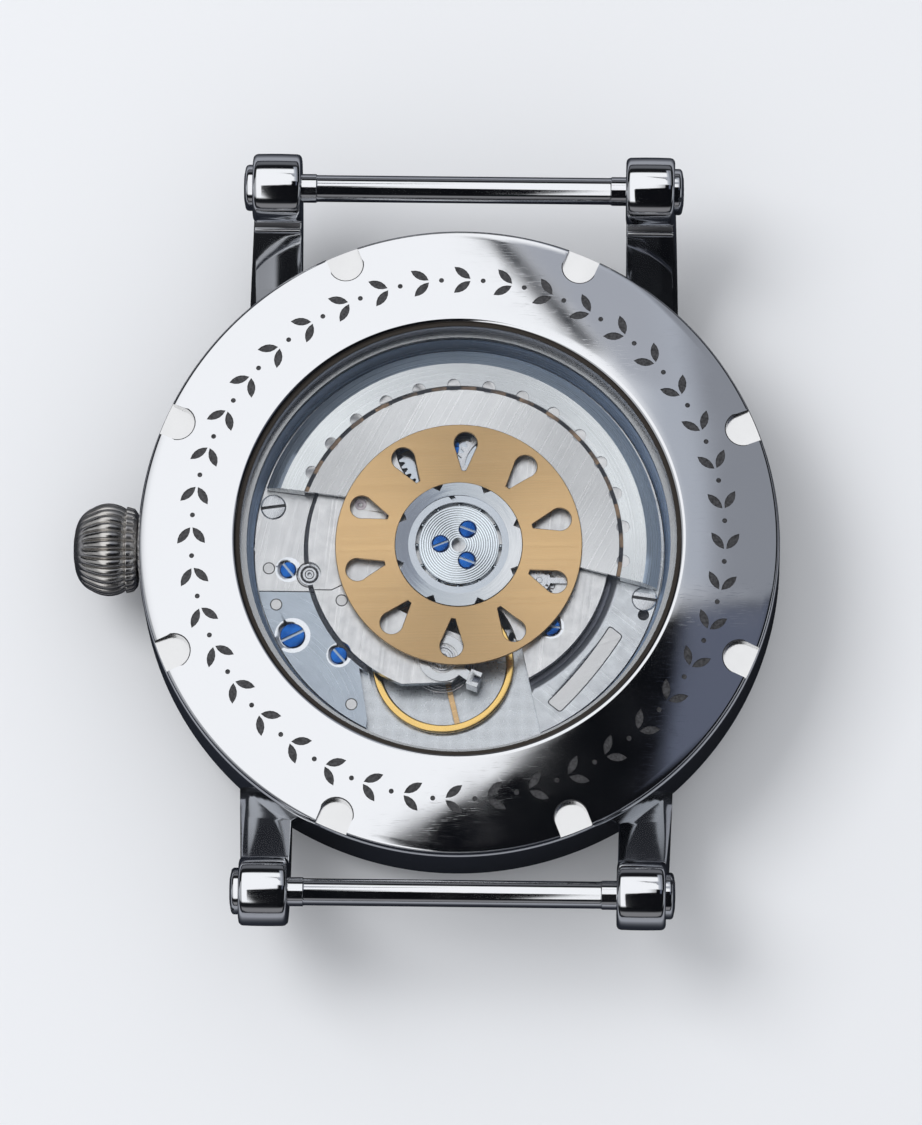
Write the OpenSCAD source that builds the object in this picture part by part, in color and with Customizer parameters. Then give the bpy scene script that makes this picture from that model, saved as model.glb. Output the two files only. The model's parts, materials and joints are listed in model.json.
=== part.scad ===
// Wristwatch head with a screwed display back, built as separate pieces.
// The front crystal's flat face lies on z = 0 and the back faces +Z; 12 o'clock is +Y, the crown is at -X.

/* [Case] */
// Diameter of the case middle
case_d = 40; // [39.9:0.1:44]
// Height of the case middle
case_h = 5.4; // [5.3:0.05:6]
// Height of the bezel
bezel_h = 2.4; // [2.2:0.1:2.8]
// How far the front crystal stands proud of the bezel
crystal_proud = 0.2; // [0.1:0.05:0.4]
// Thickness of the front crystal
crystal_t = 1.5; // [1.2:0.1:1.7]
// Diameter of the front crystal
crystal_d = 32.4; // [32:0.1:33]
// Depth from the case middle's front face to the dial
dial_depth = 0.7; // [0.6:0.05:1]

/* [Case back] */
// Diameter of the screwed back ring
back_d = 39.8; // [38:0.1:39.8]
// Thickness of the back ring at its edge
flange_t = 0.6; // [0.5:0.05:0.8]
// Rise of the back ring from its edge to the window
rim_rise = 0.83; // [0.6:0.05:1]
// Diameter of the window in the back ring
window_d = 27.72; // [27:0.1:28.2]
// Thickness of the back crystal
back_crystal_t = 1.3; // [1:0.1:1.5]
// How far the case back's thread lies outside the case bore
thread_step = 1.35; // [1.2:0.05:1.6]
// Width of a key notch in the back ring
notch_w = 2.1; // [1.8:0.1:2.4]
// Radial depth of a key notch
notch_l = 1.9; // [1.5:0.1:2.2]

/* [Lugs] */
// Free width between the lugs of one side
lug_gap = 20.3; // [18:0.1:22.3]
// Width of one lug across its barrel end
lug_w = 3.05; // [2.6:0.05:3.4]
// Radius of a lug's barrel end
lug_r = 2.15; // [1.9:0.05:2.3]
// Distance of the strap bar axis from the centre
bar_y = 22.5; // [22.3:0.1:24]
// Height of the strap bar axis above the case middle's back edge
bar_rise = 0.79; // [0.4:0.01:1]
// Radius of a strap bar
bar_r = 0.9; // [0.8:0.05:1.1]
// Radius of a lug screw's head
lug_screw_r = 1.45; // [1.3:0.05:1.6]

/* [Crown] */
// Largest diameter of the crown
crown_d = 5.9; // [5.4:0.1:6]
// Length of the crown
crown_l = 4; // [3.6:0.1:4.4]
// Number of ribs round the crown
crown_ribs = 28; // [24:1:32]
// How far the crown pulls out to set the hands
crown_pull = 1.2; // [0.9:0.05:1.2]

/* [Movement] */
// Diameter of the movement
movement_d = 25.6; // [25.5:0.05:25.9]
// Width of the ring that holds the movement in the case
ring_w = 2.65; // [2.5:0.05:2.8]
// Thickness of the dial
dial_t = 0.4; // [0.3:0.05:0.5]
// Thickness of the mainplate
plate_t = 1.5; // [1.45:0.01:1.6]
// Height of the bridges' outer step above the mainplate
low_step = 0.85; // [0.83:0.01:0.88]
// Height of the bridges' inner step above the mainplate
high_step = 1.4; // [1.38:0.01:1.45]
// Radius where the inner step begins
step_r = 9.4; // [9.3:0.05:9.6]
// Thickness of a train wheel
wheel_t = 0.12; // [0.08:0.01:0.12]
// Height from one train wheel to the next
wheel_pitch = 0.2; // [0.19:0.01:0.21]
// Outer radius of the balance
balance_r = 4.4; // [4.2:0.05:4.4]
// Length of the hour hand
hour_hand_l = 8.2; // [7.5:0.1:9]
// Length of the minute hand
minute_hand_l = 12.3; // [11.5:0.1:13]
// Length of the seconds hand
seconds_hand_l = 12.8; // [12:0.1:13.5]

/* [Rotor] */
// Outer radius of the rotor's heavy rim
rotor_r = 12.6; // [12.4:0.05:12.65]
// Inner radius of the rotor's heavy rim
rim_in_r = 10.25; // [10.1:0.05:10.5]
// Outer radius of the gilt wheel on the rotor
ornament_r = 7.7; // [7.5:0.05:7.9]
// Number of windows in the gilt wheel
ornament_n = 10; // [8:1:14]
// Thickness of the rotor's thin plate
rotor_t = 0.3; // [0.2:0.02:0.32]
// Running gap under the rotor's thin plate
rotor_gap = 0.35; // [0.33:0.01:0.37]

/* [Hidden] */
$fn = 64;
// Clearance of a fixed fit and of a running fit, and a cutter's overrun
fit = 0.01;
run = 0.03;
eps = 0.05;

// Heights, from the front crystal to the back
z_bezel = crystal_proud;
z_case = z_bezel + bezel_h;
z_dial = z_case + dial_depth;
z_plate = z_dial + dial_t;
z_top = z_plate + plate_t;
z_low = z_top + low_step;
z_high = z_top + high_step;
z_case_top = z_case + case_h;
z_edge = z_case_top + flange_t;
z_rim = z_edge + rim_rise;
z_bar = z_case_top + bar_rise;
z_stem = z_top - 0.2;
z_back_glass = z_rim - 0.18 - back_crystal_t;

// Heights inside the movement
motion_z = z_plate + 0.3;
motion_roof = z_plate + 0.47;
barrel_z = z_plate + 0.6;
barrel_floor = z_plate + 0.57;
escape_z = z_plate + 0.7;
escape_floor = z_plate + 0.6;
balance_z = z_plate + 1.08;
balance_floor = z_plate + 0.9;
centre_z = z_top + 0.1;
third_z = centre_z + wheel_pitch;
seconds_z = third_z + wheel_pitch;
train_roof = seconds_z + wheel_t + run;
winding_z = train_roof + 0.11;
winding_t = 0.2;
winding_roof = winding_z + winding_t + run;
auto_z = winding_roof + run;
auto_roof = auto_z + 0.2;
reverser_z = z_high + 0.06;
rotor_z = z_high + rotor_gap;
rotor_top = rotor_z + rotor_t;
gilt_t = 0.2;
hub_top = rotor_top + 0.28;
rim_z = z_low + 0.15;

// Radii
case_r = case_d / 2;
movement_r = movement_d / 2;
ring_out_r = movement_r + ring_w;
bore_r = ring_out_r + 0.1;
back_r = back_d / 2;
window_r = window_d / 2;
glass_gasket_t = 0.26;
ledge_r = window_r - 0.66;
thread_r = bore_r + thread_step;
bridge_r = movement_r - 0.05;
past = movement_r + 0.4;
pivot_r = 0.1;
pivot_hole_r = pivot_r + 0.02;
tooth_gap = 0.1;
wheel_gap = 0.12;
balance_gap_r = balance_r + 0.35;

// Gear teeth: share of a pitch and height in modules for one tooth's four corners
tooth_corners = [[-0.36, -1.15], [-0.13, 0.9], [0.13, 0.9], [0.36, -1.15]];
// Modules of the gear pairs
m_barrel = 0.1433;
m_centre = 0.1111;
m_third = 0.1176;
m_seconds = 0.105;
m_winding = 0.14;
m_rotor = 0.1333;
m_motion = 0.13;
m_hour = 0.1248;
// Teeth of the gear pairs
n_barrel = 80;
n_centre_pinion = 12;
n_centre = 80;
n_third_pinion = 10;
n_third = 75;
n_seconds_pinion = 10;
n_seconds = 84;
n_escape_pinion = 7;
n_escape = 20;
n_winding_pinion = 15;
n_crown_wheel = 30;
n_intermediate = 29;
n_ratchet = 42;
n_star = 8;
n_reduction = 36;
n_transfer = 32;
n_reverser_pinion = 12;
n_rotor = 49;
n_reverser = 33;
n_cannon = 12;
n_minute = 36;
n_minute_pinion = 10;
n_hour = 40;
n_setting = 16;

function polar(r, a) = [r * cos(a), r * sin(a)];
function angle_of(p) = atan2(p.y, p.x);
function pair_r(n_a, n_b, mod) = (n_a + n_b) * mod / 2;
function tip_r(n, mod) = (n / 2 + 0.9) * mod;
function bezier(a, b, c, n) = [for (i = [0:n]) let (t = i / n)
    (1 - t) * (1 - t) * a + 2 * t * (1 - t) * b + t * t * c];
// Turn of gear b so that its gap faces gear a's tooth along the line between them
function mesh_turn(line, n_a, turn_a, n_b) =
    line + 180 - (0.5 - (line - turn_a) * n_a / 360) * 360 / n_b;
// Point at distance r_a from a and r_b from b, to the right of the way from a to b
function meet(a, r_a, b, r_b) = let (
    d = norm(b - a), u = (b - a) / d, s = (r_a * r_a - r_b * r_b + d * d) / (2 * d),
    h = sqrt(max(0, r_a * r_a - s * s))) a + s * u + h * [u.y, -u.x];

// Places of the arbors
barrel_at = polar(pair_r(n_barrel, n_centre_pinion, m_barrel), 97.85);
third_at = polar(pair_r(n_centre, n_third_pinion, m_centre), 10);
escape_at = polar(pair_r(n_seconds, n_escape_pinion, m_seconds), -50);
balance_at = [-0.9, -7.1];
escape_to_balance = balance_at - escape_at;
pallet_at = escape_at + 2.1 * escape_to_balance / norm(escape_to_balance);
intermediate_at = barrel_at + polar(pair_r(n_ratchet, n_intermediate, m_winding), 240);
crown_wheel_l = pair_r(n_crown_wheel, n_intermediate, m_winding);
crown_wheel_at = [intermediate_at.x
    - sqrt(crown_wheel_l * crown_wheel_l - intermediate_at.y * intermediate_at.y), 0];
reduction_at = barrel_at + polar(pair_r(n_ratchet, n_star, m_winding), -22.5);
transfer_at = reduction_at + polar(pair_r(n_reduction, n_transfer, m_winding), -63.5);
reverser_at = meet([0, 0], pair_r(n_rotor, n_reverser, m_rotor),
    transfer_at, pair_r(n_transfer, n_reverser_pinion, m_winding));
minute_at = polar(pair_r(n_cannon, n_minute, m_motion), 190.5);
setting_l = pair_r(n_minute, n_setting, m_motion);
setting_at = [minute_at.x - sqrt(setting_l * setting_l - minute_at.y * minute_at.y), 0];

// Turns that bring each mesh's teeth into its gaps
barrel_turn = mesh_turn(angle_of(barrel_at), n_centre_pinion, 0, n_barrel);
third_pinion_turn = mesh_turn(angle_of(third_at), n_centre, 0, n_third_pinion);
seconds_pinion_turn = mesh_turn(angle_of(third_at) + 180, n_third, 0, n_seconds_pinion);
escape_pinion_turn = mesh_turn(angle_of(escape_at), n_seconds, 0, n_escape_pinion);
intermediate_turn = mesh_turn(angle_of(intermediate_at - barrel_at), n_ratchet, 0, n_intermediate);
crown_wheel_turn = mesh_turn(angle_of(crown_wheel_at - intermediate_at),
    n_intermediate, intermediate_turn, n_crown_wheel);
star_turn = mesh_turn(angle_of(reduction_at - barrel_at), n_ratchet, 0, n_star);
transfer_turn = mesh_turn(angle_of(transfer_at - reduction_at), n_reduction, 0, n_transfer);
reverser_pinion_turn = mesh_turn(angle_of(reverser_at - transfer_at),
    n_transfer, transfer_turn, n_reverser_pinion);
reverser_turn = mesh_turn(angle_of(reverser_at), n_rotor, 0, n_reverser);
minute_turn = mesh_turn(angle_of(minute_at), n_cannon, 0, n_minute);
hour_turn = mesh_turn(angle_of(minute_at) + 180, n_minute_pinion, 0, n_hour);
setting_turn = mesh_turn(angle_of(setting_at - minute_at), n_minute, minute_turn, n_setting);

// Winding stem: places along X
pinion_x1 = crown_wheel_at.x - (n_crown_wheel / 2 - 1.15) * m_winding - run;
pinion_x0 = pinion_x1 - 0.48;
slide_travel = 0.4;
slide_x0 = pinion_x1 + run;
slide_x1 = setting_at.x - tip_r(n_setting, m_motion) - 0.05 - slide_travel;
slide_groove_x = (slide_x0 + slide_x1) / 2;
stem_in_x = slide_x1 + 0.9;
lever_x = -11;
crown_x = -case_r - 0.06;
stem_r = 0.5;
stem_out_r = 0.6;
square_w = 0.6;
tube_r = 1.3;
tube_bore_r = 0.97;
stem_tip_r = 0.25;
slide_r = 0.72;

// Keyless works
lever_pivot = [lever_x - crown_pull / 2, 2];
yoke_pivot = [slide_groove_x - 0.8, -2.6];
keyless_z = z_plate + 0.2;
keyless_t = 0.3;

// Marks on the bridges: places of screws, pins and settings, and the turn of each slot
low_screws = [[polar(movement_r - 2.06, 187.5), 0.51, 40], [polar(movement_r - 1.08, 208.6), 0.78, 27],
    [polar(movement_r - 2.74, 222.8), 0.53, 42]];
high_screws = [[[-6.18, -3.04], 0.5, 10], [[5.86, -4.99], 0.53, -5]];
casing_screws = [[polar(movement_r - 0.87, 167.4), 0.77, 0], [polar(movement_r - 0.81, -14.6), 0.77, 95]];
ratchet_screw_r = 0.8;
core_screws = [for (a = [178, 61, -62]) [polar(1.13, a), 0.51, a == 178 ? 22 : -20]];
low_pins = [for (a = [186.4, 197.8, 236.7]) polar(movement_r - 0.88, a)];
high_pins = [[-7.25, -3.46]];
pin_r = 0.33;
bridge_jewels = [[-6.18, 2.71], [-4.42, 2.41]];
setting_spot = [-9.3, -1.72];
button_r = 0.7;
shock_r = 0.8;
shock_low_r = 0.6;
barrel_hole_r = 0.62;
head_h = 0.3;
sink = 0.1;
slot_w = 0.14;
slot_d = 0.13;
seam = 0.06;
groove_w = 0.3;
groove_d = 0.12;
frame_d = 0.05;
frame_at = [8.14, -7.47];
frame_size = [5.5, 1.1];
frame_turn = 48.9;

// Outlines of the bridges
cock_top = [[-past, -2.8], [-7.9, -2.8], [-7.1, -2.4], [-5.6, -2.4], [-4.9, -3.3], [-2.9, -4.4]];
cock_line = concat(cock_top, [[0.5, -5.7], [0.6, -6.9], [0.2, -8.1], [-0.3, -8.6], [-3.5, -8.75],
    [-6.1, -7.65], [-5.55, -10.9], [-5.8, -past]]);
cock_seam = [for (i = [0:6]) cock_line[i]];
train_line = [[past, 3.3], [7.2, 3.3], [3.1, 2.3], [-2, 2.2], [-2.9, -1], [-2.9, -4.4]];
foot_line = [[3.92, -5.9], [5.28, -11.69], [5.64, -past]];

module at(p, z = 0) {
    translate([p.x, p.y, z]) children();
}

// Turns a piece drawn along Z so that it runs inwards along the winding stem from a place on it
module along_stem(x) {
    translate([x, 0, z_stem]) rotate([0, 90, 0]) children();
}

module ring(r_out, r_in, h) {
    difference() {
        cylinder(r = r_out, h = h);
        translate([0, 0, -1]) cylinder(r = r_in, h = h + 2);
    }
}

module toothed(teeth, mod, turn = 0) {
    polygon([for (i = [0:teeth - 1], c = tooth_corners)
        polar((teeth / 2 + c[1]) * mod, turn + (i + c[0]) * 360 / teeth)]);
}

module pinion(teeth, mod, t, bore, turn = 0) {
    linear_extrude(t) difference() {
        toothed(teeth, mod, turn);
        circle(bore);
    }
}

// A wheel with teeth, a bore and windows that leave straight arms
module wheel(teeth, mod, t, bore, turn = 0, arms = 4, hub_r = 0.6, arm_w = 0.3) {
    rim_r = (teeth / 2 - 1.15) * mod - 0.28;
    linear_extrude(t) difference() {
        toothed(teeth, mod, turn);
        circle(bore);
        difference() {
            circle(rim_r);
            circle(hub_r);
            for (i = [0:arms - 1]) rotate(i * 360 / arms) translate([0, -arm_w / 2])
                square([rim_r + 1, arm_w]);
        }
    }
}

module screw(s, z, depth) {
    at(s[0]) difference() {
        union() {
            translate([0, 0, z - head_h]) cylinder(r = s[1], h = head_h);
            translate([0, 0, z - depth]) cylinder(r = s[1] / 2, h = depth);
        }
        translate([0, 0, z]) rotate(s[2]) cube([3 * s[1], slot_w, 2 * slot_d], center = true);
    }
}

// A hole for a screw's head and shank, with a bevelled rim
module screw_hole(s, z, depth) {
    hole_r = s[1] + fit;
    at(s[0]) {
        translate([0, 0, z - head_h]) cylinder(r = hole_r, h = 2);
        translate([0, 0, z - sink]) cylinder(r1 = hole_r, r2 = hole_r + sink + eps, h = sink + eps);
        translate([0, 0, z - depth - fit]) cylinder(r = s[1] / 2 + fit, h = depth + 1);
    }
}

// The turned groove round the foot of the inner step
module step_groove() {
    translate([0, 0, z_low - groove_d]) ring(step_r + groove_w, step_r, 1);
}

// The bare sunk frame on the train bridge
module frame_groove() {
    at(frame_at, z_low - frame_d) rotate(frame_turn) linear_extrude(1) difference() {
        square(frame_size, center = true);
        square(frame_size - 2 * [seam, seam], center = true);
    }
}

// A narrow slit along a line of points
module slit(points) {
    for (i = [0:len(points) - 2]) let (d = points[i + 1] - points[i])
        translate(points[i]) rotate(angle_of(d)) translate([-seam / 2, -seam / 2])
            square([norm(d) + seam, seam]);
}

// The case middle's outer form, also the seat of the lugs
module case_form() {
    rotate_extrude() polygon([[0, z_case], [case_r - 0.25, z_case], [case_r, z_case + 0.3],
        [case_r, z_case_top - 0.25], [case_r - 0.2, z_case_top], [0, z_case_top]]);
}

module case_middle() {
    color("silver") difference() {
        case_form();
        translate([0, 0, z_case - 1]) cylinder(r = bore_r, h = case_h + 2);
        translate([0, 0, z_case_top - 1.65]) cylinder(r = thread_r + 0.05, h = 3);
        translate([0, 0, z_case_top - 0.5]) ring(thread_r + 1, thread_r + 0.4, 1);
        along_stem(-case_r - 1) cylinder(r = tube_r, h = case_r - 14);
    }
}

// The lug's concave upper edge, from the barrel end to the case, as points [y, z]
lug_root_y = case_r - 6;
lug_upper = bezier([bar_y - lug_r + 0.35, z_bar - 1], [bar_y - 2.8, z_case + 3.6],
    [lug_root_y, z_case + 1.9], 10);
lug_lower = bezier([lug_root_y, z_case + 0.35], [bar_y + 0.6, z_case + 0.2],
    [bar_y + lug_r - 0.25, z_bar - 0.9], 10);
lug_x = lug_gap / 2;
lug_end_x = lug_x + lug_w;
lug_bore_r = 0.6;
bar_thread_r = 0.35;

// Turns a piece drawn along Z so that it runs along X from a point on the strap bar's axis
module on_bar(x) {
    translate([x, bar_y, z_bar]) rotate([0, 90, 0]) children();
}

module lug_barrel() {
    e = 0.3;
    rotate_extrude() polygon([[0, 0], [lug_r - e, 0], [lug_r - 0.09, 0.09], [lug_r, e],
        [lug_r, lug_w - e], [lug_r - 0.09, lug_w - 0.09], [lug_r - e, lug_w], [0, lug_w]]);
}

module lug() {
    flare = 0.3;
    bead_r = 0.17;
    difference() {
        union() {
            on_bar(lug_x) lug_barrel();
            difference() {
                translate([lug_x, 0, 0]) rotate([90, 0, 90]) linear_extrude(lug_w + flare)
                    polygon(concat([[bar_y, z_bar]], lug_upper, lug_lower));
                translate([lug_end_x, bar_y - 1, 0]) rotate(-atan(flare / (bar_y - 16)))
                    mirror([0, 1, 0]) translate([0, -10, -1]) cube([3, 40, 20]);
            }
            for (k = [0, 1]) translate([lug_x + 0.1, lug_upper[k].x, lug_upper[k].y])
                rotate([0, 90, 0]) cylinder(r = bead_r, h = lug_w - 0.15);
        }
        case_form();
        on_bar(lug_x - 1) cylinder(r = lug_bore_r + fit, h = lug_w + 2);
        on_bar(lug_end_x - 0.5) cylinder(r = lug_screw_r + fit, h = 2);
    }
}

module four_corners() {
    for (sx = [0, 1], sy = [0, 1]) mirror([sx, 0, 0]) mirror([0, sy, 0]) children();
}

module lugs() {
    color("silver") four_corners() lug();
}

module strap_bars() {
    color("gainsboro") for (s = [0, 1]) mirror([0, s, 0])
        on_bar(fit - lug_x) ring(bar_r, bar_thread_r + fit, lug_gap - 2 * fit);
}

module lug_screws() {
    color("gainsboro") four_corners() on_bar(lug_end_x) difference() {
        rotate_extrude() polygon([[0, -lug_w - 2.5], [bar_thread_r, -lug_w - 2.5],
            [bar_thread_r, -lug_w - fit], [lug_bore_r, -lug_w - fit], [lug_bore_r, -0.5],
            [lug_screw_r, -0.5], [lug_screw_r, 0.3], [lug_screw_r - 0.15, 0.48], [0, 0.58]]);
        translate([0, 0, 0.6]) rotate(35) cube([4, 0.3, 0.7], center = true);
    }
}

module bezel() {
    color("silver") rotate_extrude() polygon(concat(
        [[crystal_d / 2 + 0.35, z_bezel], [crystal_d / 2 + 0.9, z_bezel]],
        bezier([crystal_d / 2 + 1.1, z_bezel + 0.08], [case_r - 1, z_bezel + 0.3],
            [case_r - 0.6, z_case], 10),
        [[bore_r - fit, z_case], [bore_r - fit, z_dial], [ring_out_r - 1.3, z_dial],
        [crystal_d / 2 - 0.6, crystal_t], [crystal_d / 2 + 0.35, crystal_t]]));
}

module front_crystal() {
    color("lightcyan", 0.4) rotate_extrude() polygon([[0, 0], [crystal_d / 2 - 0.3, 0],
        [crystal_d / 2, 0.3], [crystal_d / 2, crystal_t - fit], [0, crystal_t - fit]]);
}

module front_crystal_gasket() {
    color("white") translate([0, 0, z_bezel + 0.25])
        ring(crystal_d / 2 + 0.35 - fit, crystal_d / 2 + fit, crystal_t - z_bezel - 0.25 - fit);
}

module dial() {
    color("midnightblue") difference() {
        union() {
            translate([0, 0, z_dial + fit]) cylinder(r = ring_out_r - 0.1, h = dial_t - fit);
            for (i = [0:11]) rotate(i * 30) translate([-0.25, ring_out_r - 4.2, z_dial - 0.15])
                cube([0.5, i % 3 == 0 ? 2.3 : 1.8, 0.3]);
            translate([0, 0, z_dial - 0.1]) ring(ring_out_r - 1.5, ring_out_r - 1.6, 0.2);
        }
        translate([0, 0, z_dial - 1]) cylinder(r = 0.75, h = 3);
    }
}

// A hand: its boss, a tapered blade to the front of the watch and an optional tail
module hand(z, t, l, w, boss_r, bore, tail = 0, turn = 0) {
    translate([0, 0, z]) rotate(turn) difference() {
        union() {
            cylinder(r = boss_r, h = t);
            linear_extrude(t) polygon([[-w / 3, -tail], [-w / 2, l * 0.75], [0, l],
                [w / 2, l * 0.75], [w / 3, -tail]]);
        }
        translate([0, 0, -1]) cylinder(r = bore, h = t + 2);
    }
}

hour_tube_r = 0.6;
hour_hand_z = z_dial - 0.6;
minute_hand_z = z_dial - 0.95;
seconds_hand_z = z_dial - 1.3;

module hour_hand() {
    color("silver") hand(hour_hand_z, 0.15, hour_hand_l, 1.1, 0.95, hour_tube_r + fit, 0, 60);
}

module minute_hand() {
    color("silver") hand(minute_hand_z, 0.15, minute_hand_l, 0.8, 0.75, 0.38, 0, -60);
}

module seconds_hand() {
    color("silver") union() {
        hand(seconds_hand_z, 0.15, seconds_hand_l, 0.3, 0.5, 0.05, 3.5, 180);
        translate([0, 0, seconds_hand_z]) cylinder(r = 0.3, h = 0.15);
    }
}

module case_back() {
    color("silver") difference() {
        rotate_extrude() polygon([[ledge_r, z_back_glass - 0.65], [thread_r - 1.2, z_back_glass - 0.65],
            [thread_r - 1.2, z_case_top - 1.55], [thread_r, z_case_top - 1.55], [thread_r, z_case_top],
            [back_r - 0.1, z_case_top], [back_r, z_case_top + 0.1], [back_r, z_edge - 0.16],
            [back_r - 0.05, z_edge - 0.05], [back_r - 0.18, z_edge], [window_r + 0.3, z_rim - 0.01],
            [window_r + 0.08, z_rim - 0.03], [window_r, z_rim - 0.12], [window_r, z_back_glass],
            [ledge_r, z_back_glass]]);
        for (i = [0:7]) rotate(22.5 + 45 * i)
            translate([back_r - notch_l + notch_w / 2, 0, z_case_top + 0.22]) {
                cylinder(d = notch_w, h = 3);
                translate([0, -notch_w / 2, 0]) cube([4, notch_w, 3]);
            }
    }
}

module back_crystal() {
    r = window_r - glass_gasket_t;
    color("lightcyan", 0.4) rotate_extrude() polygon([[0, z_back_glass + fit], [r, z_back_glass + fit],
        [r, z_back_glass + back_crystal_t - 0.15], [r - 0.15, z_back_glass + back_crystal_t],
        [0, z_back_glass + back_crystal_t]]);
}

module back_crystal_gasket() {
    color("saddlebrown") translate([0, 0, z_back_glass + fit])
        ring(window_r - fit, window_r - glass_gasket_t + fit, back_crystal_t - 0.05);
}

module case_back_gasket() {
    color("dimgray") translate([0, 0, z_case_top - 0.49]) ring(thread_r + 0.95, thread_r + 0.45, 0.48);
}

// The crown's onion form along its axis, shrunk radially by a share
function crown_outline(k) = [for (p = concat(
    [[0, 0.15], [2.25, 0], [2.6, 0.25], [2.72, 0.72], [2.55, 0.78], [2.62, 0.86]],
    bezier([2.75, 1], [3.15, 1.9], [2.6, 2.9], 5), bezier([2.45, 3.1], [2.1, 3.75], [1.3, 3.95], 3),
    [[0, 4.06]])) [p.x * k * crown_d / 5.9, p.y * crown_l / 4]];

module crown() {
    color("silver") translate([crown_x, 0, z_stem]) rotate([0, -90, 0]) difference() {
        union() {
            rotate_extrude() polygon(crown_outline(0.93));
            intersection() {
                rotate_extrude() polygon(crown_outline(1));
                linear_extrude(crown_l * 0.82) for (i = [0:crown_ribs - 1]) rotate(i * 360 / crown_ribs)
                    polygon([[0, 0], polar(crown_d, -90 / crown_ribs), polar(crown_d, 90 / crown_ribs)]);
            }
        }
        translate([0, 0, -1]) cylinder(r = tube_r + 0.15, h = 2.1);
        translate([0, 0, -1]) cylinder(r = stem_r + fit, h = 3.4);
    }
}

module crown_tube() {
    color("silver") along_stem(crown_x - 0.75) ring(tube_r, tube_bore_r, 5);
}

module crown_gasket() {
    color("dimgray") along_stem(crown_x + 1.5) rotate_extrude()
        translate([(tube_bore_r + stem_out_r) / 2, 0])
            circle((tube_bore_r - stem_out_r) / 2 - fit);
}

module winding_stem() {
    color("gray") difference() {
        union() {
            along_stem(crown_x - 2.3) cylinder(r = stem_r, h = 2.3 + pinion_x1 - crown_x);
            along_stem(crown_x - 0.9) cylinder(r = stem_out_r, h = 4.8);
            translate([pinion_x1 - 0.2, -square_w / 2, z_stem - square_w / 2])
                cube([slide_x1 - pinion_x1 + 0.25, square_w, square_w]);
            along_stem(slide_x1) cylinder(r = stem_tip_r, h = stem_in_x - slide_x1);
        }
        along_stem(lever_x - 0.3) ring(1, 0.27, 0.6);
    }
}

module movement_ring() {
    color("slategray") difference() {
        rotate_extrude() polygon([[movement_r + run, z_plate], [ring_out_r, z_plate],
            [ring_out_r, z_back_glass - 0.75], [movement_r + 0.55, z_back_glass - 0.75],
            [movement_r + 0.25, z_low + 0.2], [movement_r + run, z_low - 0.1]]);
        along_stem(-ring_out_r - 1) cylinder(r = stem_out_r + 0.1, h = 4);
        for (s = casing_screws) screw_hole([s[0], s[1], 0], z_low + 0.08, 0.4);
    }
}

// The disc of the movement between two heights
module disc(r, z0, z1) {
    translate([0, 0, z0]) cylinder(r = r, h = z1 - z0);
}

module stem_way() {
    along_stem(-past) cylinder(r = stem_out_r + run, h = past + pinion_x0);
    along_stem(pinion_x0 - run)
        cylinder(r = tip_r(n_winding_pinion, m_winding) + 0.05, h = pinion_x1 - pinion_x0 + 2 * run);
    along_stem(pinion_x1) cylinder(r = slide_r + 0.1, h = slide_x1 + slide_travel + run - pinion_x1);
    along_stem(slide_x1) cylinder(r = stem_tip_r + 0.02, h = stem_in_x - slide_x1 + 0.05);
}

// The space that the train's wheels turn in, above the mainplate
module train_space() {
    disc(tip_r(n_centre, m_centre) + wheel_gap, z_top - eps, train_roof);
    at(third_at) disc(tip_r(n_third, m_third) + wheel_gap, z_top - eps, train_roof);
    at(escape_at) disc(0.6, z_top - eps, train_roof);
    at(balance_at) disc(balance_gap_r, z_top - eps, z_high + 1);
    at(barrel_at) disc(tip_r(n_barrel, m_barrel) + wheel_gap, z_top - eps, z_top + 0.07);
}

module mainplate() {
    tip_setting = tip_r(n_setting, m_motion) + wheel_gap;
    color("lightgray") difference() {
        union() {
            disc(movement_r, z_plate, z_top);
            for (p = low_pins) at(p) disc(pin_r, z_top - eps, z_low);
            for (p = high_pins) at(p) disc(pin_r, z_top - eps, z_high);
        }
        at(barrel_at) disc(tip_r(n_barrel, m_barrel) + wheel_gap, barrel_floor, z_top + eps);
        disc(tip_r(n_hour, m_hour) + wheel_gap, z_plate - 1, motion_roof);
        at(minute_at) disc(tip_r(n_minute, m_motion) + wheel_gap, z_plate - 1, motion_roof);
        at(setting_at) disc(tip_setting, z_plate - 1, z_plate + 0.55);
        disc(tip_r(n_centre_pinion, m_barrel) + tooth_gap, barrel_floor, z_top + eps);
        disc(0.47, z_plate - 1, z_top);
        at(third_at) disc(pivot_hole_r, z_plate - 1, z_top + eps);
        at(escape_at) disc(escape_r + 0.26, escape_floor, z_top + eps);
        at(escape_at) disc(pivot_hole_r, z_plate - 1, z_top);
        at(pallet_at) disc(1.55, escape_floor, z_top + eps);
        at(pallet_at) disc(pivot_r, z_plate - 1, z_top);
        pallet_bridge_form(fit, 1);
        at(balance_at) disc(balance_gap_r - 0.1, balance_floor, z_top + eps);
        at(balance_at) disc(1, escape_floor, z_top);
        at(balance_at) disc(shock_low_r + fit, z_plate - 1, z_top);
        at(barrel_at) disc(barrel_hole_r, z_plate - 1, z_top);
        at((pallet_at + balance_at) / 2, escape_floor) rotate(angle_of(escape_to_balance))
            translate([-1.8, -0.75, 0]) cube([3.6, 1.5, 1]);
        stem_way();
        translate([slide_x0 - 0.1, -0.9, z_plate + 0.1])
            cube([slide_x1 + slide_travel + 0.15 - slide_x0, 1.8, 1]);
        translate([0, 0, z_plate - 1]) linear_extrude(1.55) keyless_space();
        translate([lever_x - crown_pull - 0.3, -0.35, z_plate + 0.4]) cube([crown_pull + 0.6, 0.75, 0.9]);
        for (s = low_screws) screw_hole(s, z_low, 1.6);
        for (s = high_screws) screw_hole(s, z_high, 1.9);
        for (s = casing_screws) screw_hole(s, z_low + 0.08, 1.6);
    }
}

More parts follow.
